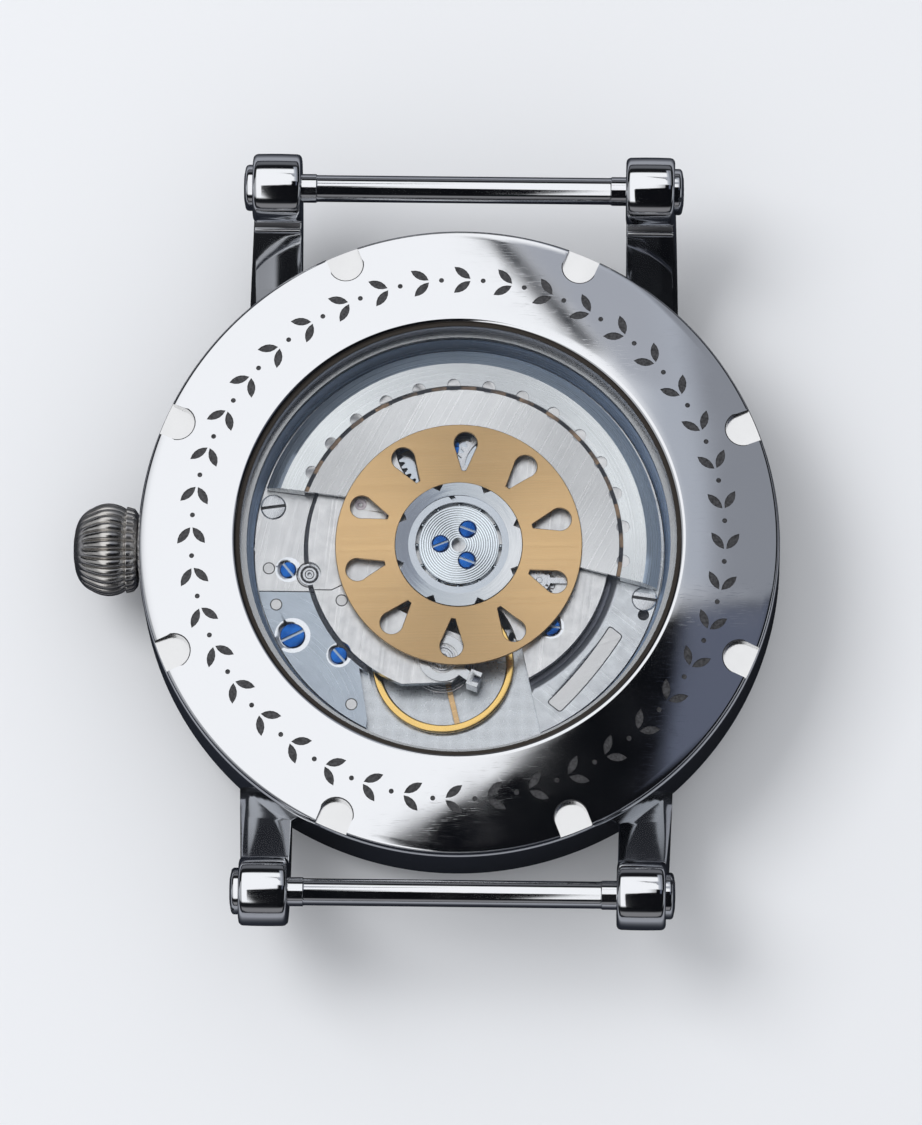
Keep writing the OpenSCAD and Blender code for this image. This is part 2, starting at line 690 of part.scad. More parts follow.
module keyless_space() {
    polygon([lever_pivot + [-0.55, 0.6], lever_pivot + [0.75, 0.6], [lever_x + 0.75, -0.6],
        [lever_x - crown_pull - 0.55, -0.6]]);
    polygon([yoke_pivot + [-0.95, -0.6], yoke_pivot + [0.75, -0.6],
        [slide_groove_x + slide_travel + 0.7, 0.6], [slide_groove_x - 0.6, 0.6]]);
}

// Outline of a bridge: its half planes meet in a polygon that reaches past the movement
module barrel_area() {
    polygon(concat(cock_top, [for (i = [len(train_line) - 2:-1:0]) train_line[i]],
        [[past, past], [-past, past]]));
}

module train_area() {
    polygon(concat(train_line, [[-2.4, -4.7], cock_line[6]], foot_line, [[past, -past]]));
}

module cock_area() {
    polygon(concat(cock_line, [[-past, -past]]));
}

module barrel_bridge() {
    color("silver") difference() {
        union() {
            disc(bridge_r, z_top, z_low);
            at(crown_wheel_at) disc(0.78, z_low - eps, winding_roof - run);
        }
        translate([0, 0, z_top - 1]) linear_extrude(4) {
            difference() {
                square(40, center = true);
                barrel_area();
            }
            slit(cock_top);
            slit(train_line);
        }
        train_space();
        at(intermediate_at) {
            disc(tip_r(n_intermediate, m_winding) + tooth_gap, winding_z - run, z_high);
            disc(0.3 + fit, z_top - 1, z_high);
        }
        at(barrel_at) disc(tip_r(n_ratchet, m_winding) + tooth_gap, winding_z - run, z_high);
        at(barrel_at) disc(barrel_hole_r, z_top - 1, z_high);
        at(crown_wheel_at, winding_z - run) ring(tip_r(n_crown_wheel, m_winding) + tooth_gap, 0.78, 1);
        at(reduction_at) disc(0.75, winding_z - run, z_high);
        at(reduction_at) disc(pivot_hole_r, z_top - 1, z_high);
        at(click_at) disc(0.24, winding_z - 0.2, z_high);
        translate([0, 0, winding_z - run]) linear_extrude(1) click_space();
        stem_way();
        at(setting_spot) disc(button_r + fit, z_low - 0.21, z_high);
        for (p = low_pins) at(p) disc(pin_r + fit, z_top - 1, z_high);
        for (s = low_screws) screw_hole(s, z_low, 1.6);
        for (s = casing_screws) screw_hole(s, z_low + 0.08, 1.6);
        step_groove();
    }
}

module train_bridge() {
    color("silver") difference() {
        disc(bridge_r, z_top, z_low);
        translate([0, 0, z_top - 1]) linear_extrude(4) difference() {
            square(40, center = true);
            train_area();
        }
        train_space();
        for (p = train_jewels) at(p) disc(train_jewel_r + fit, z_top, z_high);
        at(intermediate_at) disc(tip_r(n_intermediate, m_winding) + tooth_gap, winding_z - run, z_high);
        at(barrel_at) disc(tip_r(n_ratchet, m_winding) + tooth_gap, winding_z - run, z_high);
        at(transfer_at) disc(pivot_hole_r, z_top, z_high);
        at(reverser_at) disc(pivot_hole_r, z_top, z_high);
        at(reduction_at) disc(0.75, winding_z - run, z_high);
        for (s = high_screws) screw_hole(s, z_high, 1.9);
        for (s = casing_screws) screw_hole(s, z_low + 0.08, 1.6);
        step_groove();
        frame_groove();
    }
}

train_jewels = [[0, 0], third_at, escape_at];
train_jewel_r = 0.36;

module balance_cock() {
    cock_gap = 0.75;
    color("silver") difference() {
        union() {
            disc(bridge_r, z_top, z_low);
            disc(step_r, z_low - eps, z_high);
        }
        translate([0, 0, z_top - 1]) linear_extrude(4) {
            difference() {
                square(40, center = true);
                cock_area();
            }
            slit(cock_seam);
        }
        disc(tip_r(n_centre, m_centre) + wheel_gap, z_top - eps, train_roof);
        at(balance_at) disc(balance_gap_r, z_top - eps, z_top + cock_gap);
        at(balance_at) disc(shock_r + fit, z_top, z_high + 1);
        at(regulator_pin) disc(0.3 + fit, z_top, z_high + 1);
        stem_way();
        for (p = concat(low_pins, high_pins)) at(p) disc(pin_r + fit, z_top - 1, z_high + 1);
        for (s = low_screws) screw_hole(s, z_low, 1.6);
        for (s = high_screws) screw_hole(s, z_high, 1.9);
        step_groove();
    }
}

// The automatic work's bridge: the inner step on top of the barrel and train bridges
module auto_bridge() {
    color("silver") difference() {
        disc(step_r, z_low, z_high);
        translate([0, 0, z_low - 1]) linear_extrude(4) {
            cock_area();
            slit(cock_seam);
            polygon(concat([cock_line[6]], foot_line, [[-past, -past], [-5, -8]]));
        }
        at(balance_at) disc(balance_gap_r, z_low - 1, z_high + 1);
        at(intermediate_at) disc(tip_r(n_intermediate, m_winding) + tooth_gap, z_low - 1, winding_roof);
        at(crown_wheel_at) disc(tip_r(n_crown_wheel, m_winding) + tooth_gap, z_low - 1, winding_roof);
        at(barrel_at) disc(tip_r(n_ratchet, m_winding) + tooth_gap, z_low - 1, z_high + 1);
        at(reduction_at) disc(0.95, z_low - 1, z_high + 1);
        at(reduction_at) disc(tip_r(n_reduction, m_winding) + tooth_gap, auto_z - run, auto_roof);
        at(transfer_at) disc(tip_r(n_transfer, m_winding) + tooth_gap, auto_z - run, auto_roof);
        at(transfer_at) disc(pivot_hole_r, z_low - 1, auto_roof + 0.12);
        at(reverser_at) disc(tip_r(n_reverser_pinion, m_winding) + 0.08, auto_z - run, z_high + 1);
        at(reverser_at) disc(pivot_hole_r, z_low - 1, z_high);
        translate([0, 0, z_low - 1]) linear_extrude(winding_roof - z_low + 1) click_space();
        at(click_at) disc(0.45, z_low - 1, winding_roof);
        stem_way();
        for (p = bridge_jewels) at(p) disc(0.36 + fit, z_high - 0.2, z_high + 1);
        at(setting_spot) disc(button_r + fit, z_low - 1, z_high + 1);
        for (s = core_screws) screw_hole(s, z_high + 0.5, 0.8);
        for (s = high_screws) screw_hole(s, z_high, 1.9);
    }
}

module barrel() {
    drum_r = (n_barrel / 2 - 1.15) * m_barrel;
    color("goldenrod") at(barrel_at, barrel_z) difference() {
        union() {
            pinion(n_barrel, m_barrel, 0.27, barrel_hole_r, barrel_turn);
            cylinder(r = drum_r - 0.1, h = 0.9);
        }
        translate([0, 0, 0.12]) ring(drum_r - 0.3, 0.9, 0.66);
        translate([0, 0, -1]) cylinder(r = barrel_hole_r, h = 3);
        translate([0, 0, 0.12]) cylinder(r = 1, h = 0.66);
    }
}

module barrel_arbor() {
    color("gray") at(barrel_at) difference() {
        union() {
            disc(0.6, z_plate + 0.2, winding_z);
            disc(0.9, barrel_z + 0.15, barrel_z + 0.75);
            disc(0.5, winding_z, winding_roof - run);
            disc(ratchet_screw_r, winding_roof - run, winding_roof + 0.22);
        }
        translate([0, 0, winding_roof + 0.22]) cube([3, slot_w, 2 * slot_d], center = true);
    }
}

// A flat spiral band about the origin, as an outline to be extruded
function spiral(r0, r1, turns, steps) = [for (i = [0:steps])
    polar(r0 + (r1 - r0) * i / steps, 360 * turns * i / steps)];

module spiral_band(r0, r1, turns, band_w, steps) {
    inner = spiral(r0, r1, turns, steps);
    outer = spiral(r0 + band_w, r1 + band_w, turns, steps);
    polygon(concat(inner, [for (i = [steps:-1:0]) outer[i]]));
}

module mainspring() {
    drum_r = (n_barrel / 2 - 1.15) * m_barrel;
    color("steelblue") at(barrel_at, barrel_z + 0.15) linear_extrude(0.6)
        spiral_band(1.05, drum_r - 0.55, 7, 0.12, 168);
}

module ratchet_wheel() {
    color("silver") at(barrel_at, winding_z) wheel(n_ratchet, m_winding, winding_t, 0.5 + fit, 0, 0, 3);
}

module crown_wheel() {
    color("silver") at(crown_wheel_at, winding_z)
        pinion(n_crown_wheel, m_winding, winding_t, 0.78 + run, crown_wheel_turn);
}

module intermediate_wheel() {
    color("silver") at(intermediate_at) union() {
        translate([0, 0, winding_z]) pinion(n_intermediate, m_winding, winding_t, 0.2, intermediate_turn);
        disc(0.25, z_top + 0.6, winding_z + winding_t);
    }
}

// The click: a pawl whose beak holds the ratchet wheel
click_at = barrel_at + polar(tip_r(n_ratchet, m_winding) + 0.55, 160);
click_beak = barrel_at + polar((n_ratchet / 2 - 0.4) * m_winding, 175.7);

module click_space() {
    polygon([click_at + [-0.75, 0.7], click_at + [0.8, 0.7], click_beak + [0.45, -0.3],
        click_beak + [-0.9, -0.45]]);
}

module click() {
    clear_r = tip_r(n_ratchet, m_winding) + 0.05;
    color("gray") union() {
        at(click_at) disc(0.45, winding_z, winding_z + winding_t - run);
        translate([0, 0, winding_z]) linear_extrude(winding_t - run)
            polygon([click_at + [-0.42, 0.1], click_at + [0.42, 0.1], barrel_at + polar(clear_r, 172.5),
                click_beak, barrel_at + polar(clear_r, 178.6), barrel_at + polar(clear_r + 0.2, 179)]);
        at(click_at) disc(0.2, winding_z - 0.17, winding_z + eps);
    }
}

module centre_wheel() {
    color("goldenrod") difference() {
        union() {
            translate([0, 0, centre_z]) wheel(n_centre, m_centre, wheel_t, 0.17, 0, 5, 0.75, 0.32);
            translate([0, 0, barrel_z + 0.02]) pinion(n_centre_pinion, m_barrel, 0.4, 0.17);
            disc(0.45, barrel_z + 0.02, centre_z + wheel_t);
            disc(0.3, minute_hand_z + 0.12, barrel_z + 0.1);
        }
        disc(0.17, z_dial - 2, z_high);
    }
}

module third_wheel() {
    color("goldenrod") at(third_at) union() {
        translate([0, 0, third_z]) wheel(n_third, m_third, wheel_t, 0.05, 0, 5, 0.6, 0.3);
        translate([0, 0, centre_z - 0.04])
            pinion(n_third_pinion, m_centre, wheel_t + 0.06, 0.05, third_pinion_turn);
        disc(0.2, centre_z - 0.06, train_roof - run);
        disc(pivot_r, z_plate + 0.7, train_roof + 0.15);
    }
}

module seconds_wheel() {
    color("goldenrod") union() {
        translate([0, 0, seconds_z]) wheel(n_seconds, m_seconds, wheel_t - 0.02, 0.05, 0, 5, 0.6, 0.3);
        translate([0, 0, third_z - 0.02])
            pinion(n_seconds_pinion, m_third, wheel_t + 0.04, 0.05, seconds_pinion_turn);
        disc(0.25, third_z - 0.03, train_roof - run);
        disc(0.14, seconds_hand_z + 0.15, third_z);
        disc(pivot_r, third_z, train_roof + 0.15);
    }
}

escape_r = 1.6;
escape_t = 0.15;

module escape_wheel() {
    color("lightsteelblue") at(escape_at) union() {
        translate([0, 0, escape_z]) linear_extrude(escape_t) difference() {
            polygon([for (i = [0:n_escape - 1], c = [[0, 1], [0.12, 0.99], [0.34, 0.8], [0.86, 0.8]])
                polar(escape_r * c[1], (i + c[0]) * 360 / n_escape)]);
            difference() {
                circle(escape_r * 0.68);
                circle(0.35);
                for (i = [0:3]) rotate(45 + 90 * i) translate([0, -0.1]) square([2, 0.2]);
            }
        }
        translate([0, 0, seconds_z - 0.02])
            pinion(n_escape_pinion, m_seconds, wheel_t + 0.02, 0.05, escape_pinion_turn);
        disc(0.18, escape_z, train_roof - run);
        disc(0.09, z_plate + 0.3, train_roof + 0.15);
    }
}

module pallet_fork() {
    reach = norm(pallet_at - balance_at) - 0.32;
    color("gray") at(pallet_at, escape_z) rotate(angle_of(escape_to_balance)) union() {
        linear_extrude(escape_t) difference() {
            union() {
                circle(0.35);
                polygon([[0, -0.22], [reach - 0.5, -0.12], [reach, -0.3], [reach, 0.3],
                    [reach - 0.5, 0.12], [0, 0.22]]);
                for (s = [0, 1]) mirror([0, s])
                    polygon([[0.1, 0], [-0.1, 0.8], [-0.55, 1.3], [-0.97, 1.15], [-0.62, 0.98],
                        [-0.35, 0.6], [-0.25, 0]]);
            }
            translate([reach - 0.3, -0.1]) square([1, 0.2]);
        }
        translate([0, 0, -0.45]) cylinder(r = 0.08, h = 0.82);
    }
}

// The pallet bridge's bar and two feet, grown by a clearance and cut off at a height
module pallet_bridge_form(gap, h) {
    at(pallet_at, escape_z + 0.2) rotate(angle_of(escape_to_balance)) {
        translate([-0.35 - gap, -1.9, -gap]) cube([0.7 + 2 * gap, 3.8, h]);
        for (s = [-1, 1]) translate([0, s * 1.9, -0.3]) cylinder(r = 0.42 + gap, h = 0.3 + h);
    }
}

module pallet_bridge() {
    color("silver") difference() {
        pallet_bridge_form(0, 0.13);
        at(pallet_at) disc(pivot_r, escape_z, escape_z + 1);
    }
}

module balance_wheel() {
    color("gold") at(balance_at) union() {
        translate([0, 0, balance_z]) ring(balance_r, balance_r - 0.38, 0.37);
        translate([0, 0, balance_z + 0.12]) linear_extrude(0.13) {
            circle(0.6);
            for (i = [0:2]) rotate(-76 + 120 * i) translate([0, -0.17]) square([balance_r - 0.3, 0.34]);
        }
        disc(0.55, balance_z - 0.16, balance_z - 0.08);
        disc(0.2, balance_z - 0.3, z_top + 0.7);
        disc(0.08, z_plate + 0.32, z_top + 0.86);
        rotate(angle_of(-escape_to_balance)) translate([0.42, 0, 0])
            disc(0.07, escape_z - 0.02, balance_z - 0.1);
    }
}

stud_at = [0.85, -8.3];
regulator_pin = [2.03, -8.71];

module hairspring() {
    stud = stud_at - balance_at;
    color("steelblue") at(balance_at, z_top + 0.15) rotate(angle_of(stud)) mirror([0, 1, 0])
        linear_extrude(0.15) spiral_band(0.55, norm(stud) - 0.06, 8, 0.05, 160);
}

module regulator() {
    stud = stud_at - balance_at;
    index_t = 0.14;
    color("silver") union() {
        at(balance_at, z_high + fit) ring(1.5, 0.95, index_t);
        at(balance_at, z_high + fit) rotate(angle_of(stud)) translate([1.2, -0.3, 0])
            cube([norm(stud) - 1.2, 0.6, index_t]);
        at(stud_at) rotate(angle_of(stud) + 14) difference() {
            translate([-0.13, -0.5, z_top + 0.14]) cube([0.75, 1, z_high + 0.22 - z_top - 0.14]);
            translate([0.2, -0.2, z_high + 0.02]) cube([0.9, 0.4, 1]);
            rotate(-angle_of(stud) - 14) translate([-stud.x, -stud.y, z_top + 0.1])
                ring(norm(stud) + 0.02, norm(stud) - 0.14, 0.25);
        }
    }
}

// The balance's two settings and the steel button beside the stem
module shock_settings() {
    color("silver") union() {
        at(balance_at) difference() {
            disc(shock_r, z_top + 0.77, z_high + 0.12);
            disc(pivot_r, z_top + 0.7, z_top + 0.9);
            translate([0, 0, z_high + 0.02]) ring(0.66, 0.5, 1);
            disc(0.28, z_high, z_high + 1);
        }
        at(balance_at) difference() {
            disc(shock_low_r, z_plate + 0.02, z_plate + 0.5);
            disc(pivot_r, z_plate + 0.3, z_plate + 1);
        }
        at(setting_spot) difference() {
            disc(button_r, z_low - 0.2, z_low + 0.1);
            translate([0, 0, z_low + 0.02]) ring(0.56, 0.44, 1);
            disc(pivot_hole_r, z_low - 0.1, z_high);
        }
    }
}

module jewel(p, z, r, t) {
    at(p, z) difference() {
        cylinder(r = r, h = t);
        translate([0, 0, -1]) cylinder(r = pivot_hole_r, h = 3);
        translate([0, 0, t - 0.06]) cylinder(r1 = pivot_hole_r, r2 = 0.2, h = 0.1);
    }
}

module jewels() {
    color("crimson") union() {
        for (p = train_jewels) jewel(p, train_roof + fit, train_jewel_r, z_low - train_roof - 2 * fit);
        for (p = bridge_jewels) jewel(p, z_high - 0.2, 0.36, 0.2);
    }
}

module movement_screws() {
    color("mediumblue") {
        for (s = low_screws) screw(s, z_low, 1.4);
        for (s = high_screws) screw(s, z_high, 1.7);
        for (s = casing_screws) screw(s, z_low + 0.08, 1.3);
        for (s = core_screws) screw(s, rotor_top + 0.2, 0.9);
    }
}

module winding_pinion() {
    color("gray") along_stem(pinion_x0)
        pinion(n_winding_pinion, m_winding, pinion_x1 - pinion_x0, stem_r + fit, winding_pinion_turn);
}

// The winding pinion's gap stands under the crown wheel's tooth
winding_pinion_turn = 180 + (0.5 - (180 - crown_wheel_turn) * n_crown_wheel / 360) * 360 / n_winding_pinion;

module sliding_pinion() {
    color("gray") along_stem(slide_x0) difference() {
        cylinder(r = slide_r, h = slide_x1 - slide_x0);
        translate([0, 0, -1]) cylinder(r = square_w * 0.75, h = 3);
        translate([0, 0, slide_groove_x - slide_x0 - 0.15]) ring(1, 0.52, 0.3);
        for (i = [0:9]) rotate(i * 36) translate([0.55, 0, slide_x1 - slide_x0])
            cube([0.5, 0.2, 0.3], center = true);
    }
}

module setting_lever() {
    nose = [lever_x, 0] - lever_pivot;
    color("gray") at(lever_pivot, keyless_z) union() {
        cylinder(r = 0.45, h = keyless_t);
        rotate(angle_of(nose)) translate([0, -0.22, 0]) cube([norm(nose), 0.44, keyless_t]);
        translate([nose.x, nose.y, 0]) cylinder(r = 0.2, h = z_stem - 0.3 - keyless_z);
    }
}

module yoke() {
    nose = [slide_groove_x, 0] - yoke_pivot;
    color("gray") at(yoke_pivot, keyless_z) union() {
        cylinder(r = 0.5, h = keyless_t);
        rotate(angle_of(nose)) translate([0, -0.2, 0]) cube([norm(nose) + 0.15, 0.4, keyless_t]);
        translate([nose.x, nose.y, 0]) cylinder(r = 0.11, h = z_stem - 0.56 - keyless_z);
    }
}

module setting_wheel() {
    color("goldenrod") at(setting_at, motion_z) union() {
        pinion(n_setting, m_motion, 0.14, 0.05, setting_turn);
        translate([0, 0, -0.2]) cylinder(r = 0.35, h = 0.3);
    }
}

module minute_wheel() {
    color("goldenrod") at(minute_at) union() {
        translate([0, 0, motion_z]) pinion(n_minute, m_motion, wheel_t, 0.05, minute_turn);
        translate([0, 0, z_plate + 0.05]) pinion(n_minute_pinion, m_hour, motion_z - z_plate, 0.05);
        disc(0.2, z_plate + 0.05, motion_z + wheel_t);
    }
}

module hour_wheel() {
    color("goldenrod") difference() {
        union() {
            translate([0, 0, z_plate + 0.08]) pinion(n_hour, m_hour, 0.13, 0.4, hour_turn);
            disc(hour_tube_r, hour_hand_z, z_plate + 0.15);
        }
        disc(0.42 + run, z_dial - 2, z_high);
    }
}

module cannon_pinion() {
    color("gray") difference() {
        union() {
            disc(0.42, minute_hand_z + 0.16, motion_roof - run);
            translate([0, 0, motion_z - 0.02]) pinion(n_cannon, m_motion, wheel_t + 0.04, 0.3);
            disc(0.38 - fit, minute_hand_z, minute_hand_z + 0.2);
        }
        disc(0.3 + fit / 2, z_dial - 2, z_high);
    }
}

module reverser_wheel() {
    color("silver") at(reverser_at) union() {
        translate([0, 0, reverser_z]) wheel(n_reverser, m_rotor, 0.18, 0.3, reverser_turn, 4, 0.7, 0.35);
        translate([0, 0, reverser_z]) ring(0.5, 0.2, 0.24);
    }
}

module reverser_pinion() {
    color("gray") at(reverser_at) union() {
        translate([0, 0, auto_z]) pinion(n_reverser_pinion, m_winding, 0.16, 0.05, reverser_pinion_turn);
        disc(0.17, auto_z, reverser_z + 0.26);
        disc(pivot_r, z_low - 0.15, auto_z + eps);
    }
}

module transfer_wheel() {
    color("goldenrod") at(transfer_at) union() {
        translate([0, 0, auto_z]) wheel(n_transfer, m_winding, 0.12, 0.05, transfer_turn, 4, 0.5, 0.3);
        disc(0.2, auto_z, auto_z + 0.15);
        disc(pivot_r, z_low - 0.15, auto_roof + 0.1);
    }
}

module reduction_wheel() {
    color("silver") at(reduction_at) union() {
        translate([0, 0, auto_z]) wheel(n_reduction, m_winding, 0.12, 0.05, 0, 4, 0.5, 0.3);
        translate([0, 0, winding_z]) pinion(n_star, m_winding, auto_z + 0.2 - winding_z, 0.05, star_turn);
        disc(pivot_r, z_low - 0.3, auto_z + 0.28);
    }
}

core_r = 2.5;
race_in_r = 2.71;
lock_r = 3.95;
ball_r = 0.14;
ball_z = rotor_z + 0.1;

module bearing_core() {
    color("silver") {
        difference() {
            rotate_extrude() difference() {
                polygon([[0.45, z_high + fit], [core_r, z_high + fit], [core_r, rotor_top + 0.15],
                    [0.45, rotor_top + 0.15]]);
                translate([(core_r + race_in_r) / 2, ball_z]) circle(ball_r + fit);
            }
            for (s = core_screws) screw_hole(s, rotor_top + 0.2, 1);
        }
        for (i = [0:11]) rotate(i * 30) translate([(core_r + race_in_r) / 2, 0, ball_z]) sphere(ball_r);
    }
}

module rotor_hub() {
    race_r = 3.15;
    color("silver") difference() {
        union() {
            translate([0, 0, reverser_z]) linear_extrude(0.2) toothed(n_rotor, m_rotor);
            disc(race_r, reverser_z, rotor_top + 0.2);
            disc(lock_r + 0.35, rotor_top - 0.22, rotor_top);
            disc(lock_r, rotor_top - eps, hub_top);
        }
        disc(race_in_r, z_high - 1, hub_top + 1);
        disc(race_r, rotor_top + 0.2, hub_top + 1);
        rotate_extrude() translate([(core_r + race_in_r) / 2, ball_z]) circle(ball_r + fit);
        for (i = [0:7]) rotate(20 + 45 * i) translate([lock_r, 0, rotor_top]) rotate(45)
            cube([0.5, 0.5, 4], center = true);
    }
}

// The gilt openwork wheel that joins the rotor's hub to its plate
module rotor_ornament() {
    color("burlywood") translate([0, 0, rotor_top]) linear_extrude(gilt_t) difference() {
        circle(ornament_r);
        circle(lock_r + fit);
        for (i = [0:ornament_n - 1]) rotate(15 + i * 360 / ornament_n) {
            translate([ornament_r - 1.2, 0]) circle(0.72);
            polygon([[4.75, -0.12], [ornament_r - 1.35, -0.7], [ornament_r - 1.35, 0.7], [4.75, 0.12]]);
        }
    }
}

module rotor_weight() {
    plate_in_r = ornament_r - 0.4;
    groove_r = rim_in_r - 0.25;
    groove_z = rotor_top - 0.12;
    bevel_w = 0.9;
    scallop_r = 0.4;
    scallops = 14;
    color("lightgray") intersection() {
        difference() {
            rotate_extrude() polygon([[plate_in_r, rotor_z], [rim_in_r, rotor_z], [rim_in_r, rim_z],
                [rotor_r, rim_z], [rotor_r, rotor_top - 0.5], [rotor_r - bevel_w, rotor_top - fit],
                [rim_in_r, rotor_top - fit], [rim_in_r, groove_z], [groove_r, groove_z],
                [groove_r, rotor_top - fit], [plate_in_r, rotor_top - fit]]);
            for (i = [0:scallops - 1]) rotate(-5 + 12.2 * i)
                translate([rim_in_r + 0.05, 0, rotor_top - 0.1]) cylinder(r = scallop_r, h = 1);
        }
        translate([0, 0, rim_z - 1]) linear_extrude(4) polygon([[-5, 2.8], [-14, 3.87], [-14, 14],
            [15, 14], [15, -3.14], [5, -0.69]]);
    }
}

case_middle();
lugs();
strap_bars();
lug_screws();
bezel();
front_crystal();
front_crystal_gasket();
dial();
hour_hand();
minute_hand();
seconds_hand();
case_back();
back_crystal();
back_crystal_gasket();
case_back_gasket();
crown();
crown_tube();
crown_gasket();
winding_stem();
movement_ring();
mainplate();
barrel_bridge();
train_bridge();
balance_cock();
auto_bridge();
barrel();
barrel_arbor();
mainspring();
ratchet_wheel();
crown_wheel();
intermediate_wheel();
click();
centre_wheel();
third_wheel();
seconds_wheel();
escape_wheel();
pallet_fork();
pallet_bridge();
balance_wheel();
hairspring();
regulator();
shock_settings();
jewels();
movement_screws();
winding_pinion();
sliding_pinion();
setting_lever();
yoke();
setting_wheel();
minute_wheel();
hour_wheel();
cannon_pinion();
reverser_wheel();
reverser_pinion();
transfer_wheel();
reduction_wheel();
bearing_core();
rotor_hub();
rotor_ornament();
rotor_weight();
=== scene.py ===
"""Looks of a wristwatch head lying on its front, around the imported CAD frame."""
import json
from math import cos, hypot, pi, radians, sin, sqrt

import bmesh
import bpy
from mathutils import Matrix, Vector


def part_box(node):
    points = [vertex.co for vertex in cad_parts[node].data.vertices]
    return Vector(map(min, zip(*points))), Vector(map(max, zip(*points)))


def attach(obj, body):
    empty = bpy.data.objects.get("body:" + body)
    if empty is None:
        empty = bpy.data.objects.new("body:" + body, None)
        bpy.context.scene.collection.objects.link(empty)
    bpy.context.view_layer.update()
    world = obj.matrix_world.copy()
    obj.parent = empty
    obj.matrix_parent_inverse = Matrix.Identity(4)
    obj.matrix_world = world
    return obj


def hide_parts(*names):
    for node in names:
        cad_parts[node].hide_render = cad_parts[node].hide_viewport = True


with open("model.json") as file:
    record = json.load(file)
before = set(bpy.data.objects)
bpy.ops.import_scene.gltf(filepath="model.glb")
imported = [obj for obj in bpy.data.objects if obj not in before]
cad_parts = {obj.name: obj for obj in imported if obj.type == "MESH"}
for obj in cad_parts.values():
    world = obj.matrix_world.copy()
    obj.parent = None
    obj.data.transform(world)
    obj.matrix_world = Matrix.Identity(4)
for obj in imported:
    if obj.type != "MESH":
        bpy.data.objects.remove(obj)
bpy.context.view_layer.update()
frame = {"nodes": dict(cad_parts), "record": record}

MM = 0.001
TAU = 2 * pi
BODY_OF = {node: body for body, nodes in frame["record"]["behaviour"]["bodies"].items() for node in nodes}
SLOT_OF = {part["node"]: part["material_slot"] for part in frame["record"]["subparts"]}


def span(node):
    """Lowest and highest corner of a CAD node, in millimetres."""
    return [[c / MM for c in corner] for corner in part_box(node)]


def link(name, data):
    """A new object of the scene."""
    made = bpy.data.objects.new(name, data)
    bpy.context.scene.collection.objects.link(made)
    return made


# Heights and radii of the frame that the looks refer to, in millimetres
case_span, back_span, stem_span, bars_span = (
    span(node) for node in ("case_middle", "case_back", "winding_stem", "strap_bars"))
CASE_R, CASE_TOP, CASE_LOW = case_span[1][0], case_span[1][2], case_span[0][2]
BACK_R, RIM_Z = back_span[1][0], back_span[1][2]
EDGE_Z = CASE_TOP + 0.6
GLASS_Z = span("back_crystal")[0][2] - 0.01
WINDOW_R = span("back_crystal_gasket")[1][0] + 0.01
LOW_Z = span("train_bridge")[1][2]
HIGH_Z = span("auto_bridge")[1][2]
PLATE_TOP = LOW_Z - 0.85
ROTOR_TOP = span("rotor_ornament")[0][2]
DIAL_Z = span("bezel")[1][2]
STEM_Z = (stem_span[0][2] + stem_span[1][2]) / 2
CROWN_X = span("crown")[1][0]
BAR_R = 0.9
BAR_Y = (bars_span[0][1] + bars_span[1][1]) / 2 + bars_span[1][1] - BAR_R
BAR_Z = (bars_span[0][2] + bars_span[1][2]) / 2
LUG_X = bars_span[1][0] + 0.01
WATCH = Vector((0, 0, EDGE_Z * MM))


# Camera

CAMERA_AZIMUTH, CAMERA_ELEVATION, CAMERA_ROLL = 5.793, 76.459, 5.011
CAMERA_DISTANCE, CAMERA_NEAR = 765.987 * MM, 0.01
CAMERA_LENS, CAMERA_SENSOR = 394.2, 36
FRAMING_ACROSS, FRAMING_UP = 0.170 * MM, -1.395 * MM


def set_camera():
    """The photograph's view: from above, a little below 6 o'clock, slightly rolled."""
    azimuth, elevation, roll = (radians(a) for a in (CAMERA_AZIMUTH, CAMERA_ELEVATION, CAMERA_ROLL))
    data = bpy.data.cameras.new("camera")
    data.lens, data.sensor_width, data.clip_start = CAMERA_LENS, CAMERA_SENSOR, CAMERA_NEAR
    camera = link("camera", data)
    aim = Matrix.Rotation(azimuth, 4, "Z") @ Matrix.Rotation(pi / 2 - elevation, 4, "X")
    framing = Matrix.Translation((FRAMING_ACROSS, FRAMING_UP, CAMERA_DISTANCE))
    camera.matrix_world = Matrix.Translation(WATCH) @ aim @ Matrix.Rotation(-roll, 4, "Z") @ framing
    bpy.context.scene.camera = camera


# Shader building

